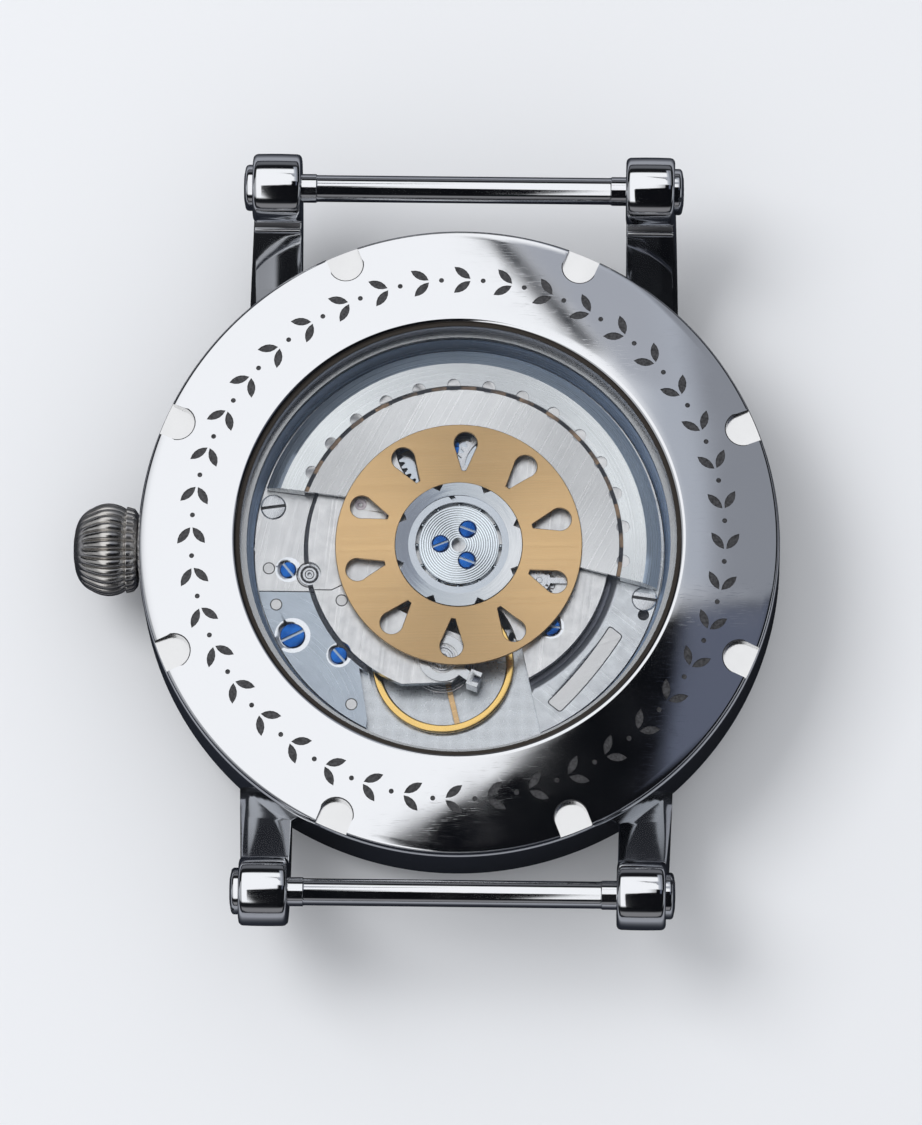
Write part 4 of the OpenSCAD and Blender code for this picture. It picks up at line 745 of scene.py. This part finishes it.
def make_bezel():
    low = span("bezel")[0][2]
    curve = bezier((17.3, low + 0.08), (19.0, low + 0.3), (19.4, CASE_LOW), 16)
    edge = rounded([(16.55, low, 0), (17.16, low, 0.08), (17.3, low + 0.08, 0)])[1:-1]
    outline = [(16.55, low), *edge, *curve, (15.54, CASE_LOW), (15.54, DIAL_Z), (14.15, DIAL_Z),
               (15.6, 1.5), (16.55, 1.5)]
    register(lathe("polished_bezel", outline, segments=240, sharp=22), "bezel")


LUG_W, LUG_R, LUG_FLARE, LUG_CROWN = 3.05, 2.15, 0.3, 0.035
SEAT_R, SEAT_DEPTH, BAR_HOLE_R = 1.46, 0.5, 0.61
ARM_STEPS, BEAD_R = 16, 0.17
BARREL_AT = (LUG_X, BAR_Y, BAR_Z)
LUG_PLACES = ((1, 1), (-1, 1), (-1, -1), (1, -1))


def lug_barrel():
    """The barrel end, slightly crowned, with rounded rims, a bore and a seat for the screw head."""
    heights = [0.3 + (LUG_W - 0.6) * k / 8 for k in range(9)]
    rim = [(LUG_R - LUG_CROWN * (2 * h / LUG_W - 1) ** 2, h) for h in heights]
    low = bezier((LUG_R - 0.34, 0.0), (LUG_R - 0.06, 0.02), rim[0], 5)[:-1]
    high = bezier(rim[-1], (LUG_R - 0.06, LUG_W - 0.02), (LUG_R - 0.34, LUG_W), 5)[1:]
    seat = [(SEAT_R + 0.06, LUG_W), (SEAT_R, LUG_W - 0.06), (SEAT_R, LUG_W - SEAT_DEPTH),
            (BAR_HOLE_R, LUG_W - SEAT_DEPTH), (BAR_HOLE_R, 0)]
    return lay_along_x(lathe("lug_barrel", low + rim + high + seat, segments=72), BARREL_AT)


def lug_arm():
    """The arm from the barrel into the case, with a facet on its outer edge that widens to the case."""
    upper = bezier((BAR_Y - LUG_R + 0.35, BAR_Z - 1), (18.6, 5.9), (14.6, 3.2), ARM_STEPS)
    lower = bezier((BAR_Y + LUG_R - 0.25, BAR_Z - 0.9), (BAR_Y + 0.6, CASE_LOW + 0.2),
                   (14.0, CASE_LOW + 0.35), ARM_STEPS)
    points, faces, in_x = [], [], LUG_X + 0.02
    for k, (top, foot) in enumerate(zip(upper, lower)):
        t = k / ARM_STEPS
        down = (Vector(foot) - Vector(top)).normalized()
        out_x = LUG_X + LUG_W - 0.1 + (LUG_FLARE + 0.1) * t
        facet = 0.12 + 0.85 * max(0.0, t - 0.25) ** 1.3
        section = [(in_x, foot, -0.1), (in_x, top, 0.09), (in_x + 0.03, top, 0.03), (in_x + 0.1, top, 0),
                   (out_x - facet, top, 0), (out_x - facet * 0.55, top, 0.1 * facet),
                   (out_x, top, 0.36 * facet), (out_x, foot, -0.1), (out_x - 0.12, foot, 0),
                   (in_x + 0.12, foot, 0)]
        points += [(x, *(Vector(end) + down * depth)) for x, end, depth in section]
        count = len(section)
        faces += band((k - 1) * count, k * count, count) if k else []
    faces += [tuple(range(count)), tuple(range(ARM_STEPS * count, (ARM_STEPS + 1) * count))]
    return solid("lug_arm", points, faces, PLAIN, sharp=24), upper


def make_lugs():
    """Four lugs: barrel, arm and two beads at the neck, cut off at the case."""
    lug, upper = lug_arm()
    bead = [(0, 0.1), (BEAD_R - 0.03, 0.1), (BEAD_R, 0.14), (BEAD_R, LUG_W - 0.12),
            (BEAD_R - 0.03, LUG_W - 0.08), (0, LUG_W - 0.08)]
    for y, z in (upper[0], upper[2]):
        unite(lug, lay_along_x(lathe("bead", bead, segments=20), (LUG_X, y, z)))
    carve(lug, lathe("case_cutter", column(CASE_R - 0.01, 1, 9), segments=240))
    carve(lug, lay_along_x(lathe("bore", column(SEAT_R, -1, LUG_W + 1), segments=48), BARREL_AT))
    unite(lug, lug_barrel())
    finish_mesh(lug, 26)
    for i, (sx, sy) in enumerate(LUG_PLACES):
        mesh = lug.data.copy()
        mesh.transform(Matrix.Diagonal((sx, sy, 1, 1)))
        if sx * sy < 0:
            mesh.flip_normals()
        register(link(f"lug_{i + 1}", mesh), "lugs")
    bpy.data.objects.remove(lug)


def make_strap_bars():
    """Tubular bars, a little slimmer between their ends."""
    reach, bore_r, slim_r, end = LUG_X - 0.01, 0.36, 0.84, 0.9
    half = [(bore_r, -reach), (BAR_R, -reach),
            *bezier((BAR_R, end - reach), (slim_r, end - reach), (slim_r, end + 0.1 - reach), 3)]
    for name, y in (("strap_bar_12", BAR_Y), ("strap_bar_6", -BAR_Y)):
        bar = lathe(name, half + [(r, -h) for r, h in reversed(half)])
        register(lay_along_x(bar, (0, y, BAR_Z)), "strap_bars")


def make_lug_screws():
    """Domed, slotted screws in the lugs' outer ends."""
    head_r, shank_r, thread_r, finishes = 1.45, 0.6, 0.35, ["polished_steel", "satin_steel"]
    outline = [(0, -LUG_W - 2.5), (thread_r, -LUG_W - 2.5), (thread_r, -LUG_W - 0.01),
               (shank_r, -LUG_W - 0.01), (shank_r, -SEAT_DEPTH), (head_r, -SEAT_DEPTH),
               *bezier((head_r, 0.24), (head_r, 0.4), (head_r - 0.18, 0.46), 4),
               (head_r * 0.55, 0.55), (0, 0.58)]
    for i, (sx, sy) in enumerate(LUG_PLACES):
        screw = lathe(f"lug_screw_{i + 1}", outline, finishes)
        slot = box_outline(4, 0.3, (0, 0), 35 + 40 * i)
        carve(screw, prisms("slot_cutter", [slot], 0.25, 1, finishes, 1))
        register(lay_along_x(screw, (sx * (LUG_X + LUG_W), sy * BAR_Y, BAR_Z), sx), "lug_screws")


CROWN_RIBS, RIB_DEPTH, RIB_STEPS = 28, 0.1, 10


def crown_shape(r, h, angle):
    """The crown's radius with its rounded ribs, which fade out towards both ends."""
    place = (angle * CROWN_RIBS / TAU) % 1 * 2 - 1
    fade = min(1.0, max(0.0, (h - 0.12) / 0.2)) * min(1.0, max(0.0, (3.72 - h) / 0.55))
    return r * (1 - RIB_DEPTH * fade * (1 - sqrt(1 - 0.97 * place * place))) if r > 1.5 else r


def make_crown():
    """The ribbed onion crown, along -X."""
    foot = [(0, 2.4), (0.51, 2.4), (0.51, 1.1), (1.45, 1.1), (1.45, 0.04), (1.5, 0.01)]
    collar = rounded([(1.5, 0.01, 0), (2.25, 0.0, 0.1), (2.6, 0.25, 0.1), (2.72, 0.72, 0.06),
                      (2.55, 0.78, 0.03), (2.62, 0.87, 0)], 3)[1:-1]
    body = bezier((2.66, 0.9), (3.2, 1.9), (2.6, 2.9), 14)
    end = [*bezier((2.53, 3.05), (2.15, 3.72), (1.3, 3.93), 9), (0.7, 4.03), (0, 4.06)]
    crown = lathe("ribbed_crown", foot + collar + body + end, ["crown_steel"], CROWN_RIBS * RIB_STEPS,
                  shape=crown_shape, sharp=40)
    register(lay_along_x(crown, (CROWN_X, 0, STEM_Z), -1), "crown")


# Movement

MOVEMENT_R, HUB_SCREWS_R, JEWEL_R = 12.8, 1.13, 0.36
SLOT_W, SLOT_D, HEAD_H = 0.15, 0.13, 0.3


def rim_point(inset, angle):
    return polar_point(MOVEMENT_R - inset, angle)


# Each screw's centre, top, head radius, slot angle and length
BRIDGE_SCREWS = {
    "blued_steel": [
        (rim_point(2.06, 187.5), LOW_Z, 0.51, -50, 1.4),
        (rim_point(1.08, 208.6), LOW_Z, 0.78, 27, 1.4),
        (rim_point(2.74, 222.8), LOW_Z, 0.53, -48, 1.4),
        ((-6.18, -3.04), HIGH_Z, 0.5, 10, 1.7),
        ((5.86, -4.99), HIGH_Z, 0.53, -5, 1.7),
        *[(polar_point(HUB_SCREWS_R, place), ROTOR_TOP + 0.2, 0.51, turn, 0.9)
          for place, turn in ((178, 22), (61, -20), (-62, -20))],
    ],
    "satin_steel": [
        (rim_point(0.87, 167.4), LOW_Z + 0.08, 0.77, 8, 1.3),
        (rim_point(0.81, -14.6), LOW_Z + 0.08, 0.77, -8, 1.3),
    ],
}
FLAT_SCREW = BRIDGE_SCREWS["satin_steel"][1][0]
# The countersinks round the blued screws: the screw's index, lower and upper radius
SEATS = {
    "barrel_bridge": [(0, 0.56, 0.8)],
    "balance_cock": [(1, 0.84, 1.12), (2, 0.57, 0.78), (3, 0.55, 0.74)],
    "auto_bridge": [(4, 0.58, 0.78)],
}


def make_screws():
    """Slotted screws with rounded heads and pale slots."""
    for finish, screws in BRIDGE_SCREWS.items():
        finishes = [finish, "slot_floor" if finish == "blued_steel" else "engraved"]
        for i, (centre, z, radius, turn, depth) in enumerate(screws):
            half, neck_z = radius / 2, z - HEAD_H
            outline = [(0, z - depth), (half, z - depth), (half, neck_z), (radius, neck_z),
                       *bezier((radius, z - 0.07), (radius, z), (radius - 0.07, z), 4), (0, z)]
            screw = lathe(f"{finish}_screw_{i + 1}", outline, finishes, 48, centre=centre)
            slot = box_outline(3 * radius, SLOT_W * (1.3 if radius > 0.6 else 1), centre, turn)
            carve(screw, prisms("slot_cutter", [slot], z - SLOT_D, z + 1, finishes, 1))
            if centre == FLAT_SCREW:
                flat = box_outline(3 * radius, radius, (centre[0], centre[1] + 0.95 * radius), -8)
                carve(screw, prisms("flat_cutter", [flat], neck_z, z + 1, finishes, 0))
            register(screw, "movement_screws", finish)


JEWELS = {
    "jewel_centre": (0, 0, LOW_Z), "jewel_third": (4.924, 0.868, LOW_Z),
    "jewel_escape": (3.071, -3.660, LOW_Z),
    "jewel_bridge_1": (-6.18, 2.71, HIGH_Z), "jewel_bridge_2": (-4.42, 2.41, HIGH_Z),
}


def make_jewels():
    """Bearing stones with a polished oil sink round each pivot hole."""
    for name, (x, y, z) in JEWELS.items():
        sink = bezier((0.24, z - 0.01), (0.15, z - 0.02), (0.12, z - 0.08), 4)
        outline = [(0.12, z - 0.2), (JEWEL_R, z - 0.2), (JEWEL_R, z - 0.03), (JEWEL_R - 0.03, z - 0.01)]
        register(lathe(name, outline + sink, ["ruby"], 40, centre=(x, y)), "jewels")


def bridge_paint(top):
    """Finishes of a bridge: 0 its top, 1 polished sinks, 2 grooves in dark painted shade, 3 recesses."""
    def paint(height, radius, normal):
        if 0.3 < normal.z < 0.95:
            return 1
        if normal.z > 0.95 and any(level - 0.14 < height < level - 0.02 for level in (LOW_Z, top)):
            return 2
        return 3 if normal.z > 0.95 and height < LOW_Z - 0.14 else 0
    return paint


def cock_paint(height, radius, normal):
    """The balance cock: grained low step, paler high step; the darker low and paler high tints are painted
    reflection and painted highlight.
    """
    high = normal.z > 0.95 and height > HIGH_Z - 0.01
    return 4 if high else bridge_paint(HIGH_Z)(height, radius, normal)


def rotor_paint(height, radius, normal):
    """Rotor: 0 plate, 1 outer zone, 2 bevel and sides in painted reflection, 3 seam in dark painted shade,
    4 scallops.
    """
    if normal.z < 0.95:
        return 2 if radius > 11.5 or normal.z < -0.5 else 1
    if height > ROTOR_TOP - 0.06:
        return 0 if radius < 10.15 else 1
    return 3 if height < ROTOR_TOP - 0.11 else 4


def hub_paint(height, radius, normal):
    """Rotor hub: 0 teeth and sides, 1 the race, 2 the lock ring."""
    if normal.z < 0.9:
        return 0
    return 2 if height > ROTOR_TOP + 0.22 else 1


BRIDGE_FINISHES = ["edge", "cove", "rhodium"]
TRAIN_FINISHES = BRIDGE_FINISHES + ["white_steel", "cove_wide"]
# Painted nodes, with their edges' width; the heads of the plate's pins and the markers are polished
PAINTED = {
    "barrel_bridge": (bridge_paint(LOW_Z), BRIDGE_FINISHES, 0.04),
    "train_bridge": (bridge_paint(LOW_Z), TRAIN_FINISHES, 0.04),
    "auto_bridge": (bridge_paint(HIGH_Z), BRIDGE_FINISHES, 0.04),
    "balance_cock": (cock_paint, BRIDGE_FINISHES + ["bridge_high"], 0.04),
    "mainplate": (lambda height, *_: int(height > PLATE_TOP + 0.1), ["white_steel"], 0.0),
    "rotor_weight": (rotor_paint, ["rotor_rim", "slate", "dashed", "white_steel"], 0.03),
    "rotor_hub": (hub_paint, ["movement_polish", "lock_ring"], 0.02),
    "dial": (lambda height, *_: int(height < DIAL_Z - 0.005), ["hands"], 0.0),
}
EDGES = {
    "crown_tube": 0.02, "regulator": 0.03, "rotor_ornament": 0.04, "balance_wheel": 0.04,
    "movement_ring": 0.03, "shock_settings": 0.02, "bearing_core": 0.02,
}

FRAME_AT, FRAME_TURN, FRAME_L, FRAME_W, FRAME_SAG, FRAME_LINE = (7.95, -7.55), -127.9, 6.3, 1.1, 0.19, 0.07
OLD_FRAME = box_outline(5.7, 1.3, (8.14, -7.47), 48.9)
PINS = [(polar_point(11.92, angle), LOW_Z) for angle in (186.4, 197.8, 236.7)] + [((-7.25, -3.46), HIGH_Z)]
SETTING_AT, SETTING_RINGS = (-9.3, -1.72), [(0, 0.755, 0.08), (0.02, 0.44, 0.12), (0.1, 0.24, 0.06)]
BALANCE_AT, BALANCE_R, BALANCE_LOW = (-0.9, -7.1), 4.41, PLATE_TOP - 0.42


def frame_outline(inset):
    """The bare frame's outline: a gently curved band with rounded corners."""
    steps, sides = 8, []
    for y in (inset - FRAME_W / 2, FRAME_W / 2 - inset):
        side = []
        for k in range(steps + 1):
            x = (FRAME_L / 2 - inset) * (2 * k / steps - 1)
            bow = FRAME_SAG * (1 - (2 * x / FRAME_L) ** 2)
            side.append((x, y + bow, 0.25 - inset if k in (0, steps) else 0))
        sides.append(side)
    return turned_outline(rounded(sides[0] + sides[1][::-1]), FRAME_AT, FRAME_TURN)


def mark_train_bridge(bridge):
    """Draws the bare curved frame over the straight one, the cove and the hole beside the flat screw."""
    finishes = [FINISH["train_bridge"], *TRAIN_FINISHES, "edge"]
    unite(bridge, prisms("frame_filler", [OLD_FRAME], LOW_Z - 0.1, LOW_Z, finishes, 0))
    carve(bridge, prisms("frame_cutter", [frame_outline(0)], LOW_Z - 0.05, LOW_Z + 1, finishes, 2))
    unite(bridge, prisms("frame_field", [frame_outline(FRAME_LINE)], LOW_Z - 0.1, LOW_Z, finishes, 4))
    hole = circle_outline(0.36, (11.55, -4.05), 20)
    carve(bridge, prisms("hole_cutter", [hole], LOW_Z - 0.5, LOW_Z + 1, finishes, 2))
    # The wide cove's faces take cove_wide, a painted shade
    cove = [(STEP_R, LOW_Z - 0.28), (STEP_R + 0.3, LOW_Z - 0.24), (STEP_R + 0.6, LOW_Z - 0.12),
            (COVE_R, LOW_Z + 0.01), (COVE_R, LOW_Z + 1), (STEP_R, LOW_Z + 1)]
    carve(bridge, lathe("cove_cutter", cove, finishes, 240, [5] * len(cove)))


def sink_seats(node, bridge):
    """Polished countersinks round the blued screws."""
    finishes = [FINISH[node], *PAINTED[node][1], "edge"]
    for index, low_r, high_r in SEATS[node]:
        centre, z = BRIDGE_SCREWS["blued_steel"][index][:2]
        outline = [(0, z - 0.1), (low_r, z - 0.1), (high_r, z + 0.001), (high_r, z + 1), (0, z + 1)]
        carve(bridge, lathe("seat_cutter", outline, finishes, 48, [1] * len(outline), centre=centre))


def make_pin_seams():
    """The fine dark lines round the steady pins and the wheel setting's turned rings."""
    spots = [(centre, z, 0.32, 0.065) for centre, z in PINS]
    spots += [(SETTING_AT, LOW_Z + height, radius, width) for height, radius, width in SETTING_RINGS]
    for i, (centre, z, radius, width) in enumerate(spots):
        outer, low, high = radius + width, z - 0.01, z + 0.004
        outline = [(radius, low), (outer, low), (outer, high), (radius, high)]
        seam = lathe(f"pin_seam_{i + 1}", outline, ["engraved"], 40, centre=centre)
        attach(seam, BODY_OF["mainplate"])


def make_balance_rim():
    """The balance's gold rim, with eased edges."""
    outer, inner, low, high = BALANCE_R, BALANCE_R - 0.5, BALANCE_LOW, BALANCE_LOW + 0.39
    outline = rounded([(outer, low, 0.06), (outer, high, 0.09), (inner, high, 0.12), (inner, low, 0.06)])
    rim = lathe("balance_rim", outline, ["balance_gold"], 128, centre=BALANCE_AT)
    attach(rim, BODY_OF["balance_wheel"])


def dress_movement(done):
    """Dresses every CAD node that has no piece of its own yet."""
    for node in frame["nodes"]:
        if node in done:
            continue
        if node in PAINTED:
            paint, finishes, width = PAINTED[node]
            dress(node, width, paint, finishes)
        else:
            dress(node, EDGES.get(node, 0.0))
    make_balance_rim()
    make_pin_seams()


# Dial side

# Each hand's length, width, tail, angle, boss radius and bore
HANDS = {
    "hour_hand": (8.2, 1.1, 0.0, 60, 0.95, 0.61),
    "minute_hand": (12.3, 0.8, 0.0, -60, 0.75, 0.38),
    "seconds_hand": (12.8, 0.3, 3.5, 180, 0.5, 0.05),
}
HAND_T, HAND_MID = 0.15, 0.09
TRACK_IN_R, TRACK_OUT_R = 14.3, 14.62


def make_hands():
    """Hands with a ridge along the blade and a turned boss; their faces look to -Z.

    The boss is a little thicker than the blade, so that no two faces of the join are level.
    """
    for node, (length, width, tail, turn, boss_r, bore) in HANDS.items():
        low, high = (corner[2] for corner in span(node))
        high = min(high, low + HAND_T)
        wide = length * 0.75
        third, half = width / 3, width / 2
        sides = [(-third, -tail), (-half, wide), (0, length), (half, wide), (third, -tail)]
        ring = turned_outline(sides, (0, 0), turn)
        ridge = turned_outline([(0, third - tail), (0, wide)], (0, 0), turn)
        points = [(x, y, z) for z in (low + HAND_MID, high - 0.01) for x, y in ring]
        points += [(x, y, low + 0.01) for x, y in ridge]
        faces = [*band(0, 5, 5), (5, 6, 7, 8, 9), (0, 1, 11, 10), (1, 2, 11), (2, 3, 11), (3, 4, 10, 11),
                 (4, 0, 10)]
        blade = solid(node + "_blade", points, faces, ["hands"], sharp=5)
        boss = [(0, low), *bezier((boss_r - 0.1, low), (boss_r, low), (boss_r, low + 0.06), 3),
                (boss_r, high), (0, high)]
        unite(blade, lathe("boss", boss, ["hands"], 48))
        if bore > 0.1:
            carve(blade, lathe("hole", column(bore, low - 1, high + 1), ["hands"], 37))
        finish_mesh(blade, 5)
        register(blade, node)


def make_minute_track():
    """Fine applied minute marks round the dial."""
    middle, length = (TRACK_IN_R + TRACK_OUT_R) / 2, TRACK_OUT_R - TRACK_IN_R
    marks = []
    for i in range(60):
        size = (length, 0.12) if i % 5 else (length + 0.1, 0.24)
        marks.append(box_outline(*size, polar_point(middle, 6 * i), 6 * i))
    track = prisms("minute_marks", marks, DIAL_Z - 0.015, DIAL_Z + 0.005, ["hands"])
    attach(track, BODY_OF["dial"])


def build_pieces():
    for make in (make_case_back, make_case_middle, make_bezel, make_lugs, make_strap_bars, make_lug_screws,
                 make_crown, make_screws, make_jewels, make_hands, make_minute_track):
        make()
    dress_movement(["case_back", "case_middle", "bezel", "lugs", "strap_bars", "lug_screws", "crown",
                    "movement_screws", "jewels", *HANDS])


# Light and floor

FLOOR_Z, FLOOR_SIDE = -0.02 * MM, 3.0
FLOOR_COLOUR = (0.74, 0.75, 0.77)
FLOOR_IN_METAL = [(0.010, 0.013, 0.022), (0.30, 0.31, 0.34)]
FLOOR_DARK_R, FLOOR_PALE_R = 31, 62
BACKDROP = (0.86, 0.87, 0.89)
EVEN_LIGHT = [(0.62, 0.63, 0.65), (0.85, 0.86, 0.88)]
SKY = [(0.030, 0.032, 0.038), (0.010, 0.011, 0.013)]
LAMP_AT, LAMP_SIZE, LAMP_WATTS = (-0.35, 0.15, 0.55), 0.35, 2.2


def add_floor():
    """A pale floor, which gloss sees dark near the watch and paler further out."""
    corners = [(x, y, FLOOR_Z) for x, y in box_outline(FLOOR_SIDE, FLOOR_SIDE, (0, 0), 0)]
    mesh = bpy.data.meshes.new("floor")
    mesh.from_pydata(corners, [], [(0, 1, 2, 3)])
    look = material("floor", FLOOR_COLOUR, metallic=0.0, roughness=0.8)
    glossy = look.add("LightPath").outputs["Is Glossy Ray"]
    away = look.range(look.polar()[0], 0.0, 1.0, FLOOR_DARK_R, FLOOR_PALE_R, "SMOOTHSTEP")
    seen = look.mix(glossy, FLOOR_COLOUR, look.mix(away, *FLOOR_IN_METAL))
    mesh.materials.append(look.finish(Base_Color=seen))
    link("floor", mesh)


def panel(look, tilts, edges):
    """A mask of a convex region of the sky.

    Each edge is a direction, how far the region reaches that way and its softness, in degrees of tilt
    from straight up.
    """
    mask = None
    for direction, reach, soft in edges:
        c, s = polar_point(1, direction)
        along = look.sum(look.product(tilts[0], c), look.product(tilts[1], s))
        edge = [radians(reach - soft), radians(reach + soft)]
        side = look.range(along, 1.0, 0.0, *edge, "SMOOTHSTEP")
        mask = look.product(mask, side) if mask else side
    return mask


# Softboxes and flags: the edges of each region, and its colour
SKY_PANELS = [
    ([(0, 16, 5), (180, 33, 8), (90, 53, 3), (270, 50, 4)], (1.08, 1.09, 1.11)),
    ([(0, -30, 8), (180, 60, 6), (90, 26, 5), (270, 50, 5)], (0.46, 0.47, 0.49)),
    ([(180, -9, 3), (0, 36, 4), (90, 62, 4), (270, -10.3, 1)], (0.46, 0.49, 0.55)),
    ([(180, -14.7, 1.4), (0, 36, 4), (90, 62, 4), (270, -10.3, 1)], (0.27, 0.285, 0.32)),
    ([(212.7, -20.6, 0.8), (180, -2, 1), (0, 13, 2), (90, 37, 2), (270, -24, 1)], (0.42, 0.44, 0.49)),
    ([(180, -2.5, 2), (0, 70, 5), (90, 9.8, 0.8), (270, 75, 5)], (0.004, 0.0045, 0.006)),
    ([(127.5, -2.35, 0.7), (180, 6.5, 1.2), (90, 1, 2), (270, 60, 5)], (0.004, 0.0045, 0.006)),
    ([(180, -12.7, 0.9), (0, 26, 4), (90, 9.8, 0.8), (270, 4, 3)], (0.115, 0.13, 0.18)),
    ([(32.7, 20.5, 0.7), (212.7, -18.9, 0.7), (90, 37, 2), (270, -25.6, 0.8)], (0.03, 0.033, 0.04)),
    ([(180, 88, 5), (0, -66, 5), (90, 20, 5), (270, 60, 5)], (0.55, 0.57, 0.60)),
    ([(180, -64, 5), (0, 88, 5), (90, 20, 5), (270, 60, 5)], (0.40, 0.42, 0.45)),
    ([(90, 86, 4), (270, -71, 4), (0, 55, 6), (180, 70, 6)], (0.14, 0.145, 0.16)),
    ([(270, 86, 4), (90, -69, 4), (0, 55, 6), (180, 55, 6)], (0.22, 0.22, 0.23)),
]


def add_world():
    """Even light for diffuse surfaces, a pale backdrop, and a studio's softboxes and flags for gloss."""
    world = bpy.data.worlds.new("studio")
    bpy.context.scene.world = world
    world.use_nodes = True
    look = Look(world.node_tree)
    x, y, z = look.add("SeparateXYZ", {0: look.add("TexCoord").outputs["Generated"]}).outputs
    tilts = (look.math("ARCTAN2", x, z), look.math("ARCTAN2", y, z))
    sky = look.mix(look.range(z, 0, 1, 0.0, 0.3), *SKY)
    for edges, colour in SKY_PANELS:
        sky = look.mix(panel(look, tilts, edges), sky, colour)
    path = look.add("LightPath").outputs
    even = look.mix(look.range(z, 0, 1, -0.2, 1.0), *EVEN_LIGHT)
    light = look.mix(path["Is Glossy Ray"], even, sky)
    light = look.mix(path["Is Camera Ray"], light, BACKDROP)
    look.tree.links.new(light, world.node_tree.nodes["Background"].inputs["Color"])


def add_lamp():
    """A softbox that gives the shadow, and that gloss doesn't see."""
    data = bpy.data.lights.new("key", "AREA")
    data.size, data.energy = LAMP_SIZE, LAMP_WATTS
    lamp = link("key", data)
    lamp.location = LAMP_AT
    lamp.rotation_euler = (WATCH - Vector(LAMP_AT)).to_track_quat("-Z", "Y").to_euler()
    lamp.visible_glossy = False


set_camera()
build_pieces()
add_floor()
add_world()
add_lamp()
bpy.context.scene.view_settings.view_transform = "Standard"
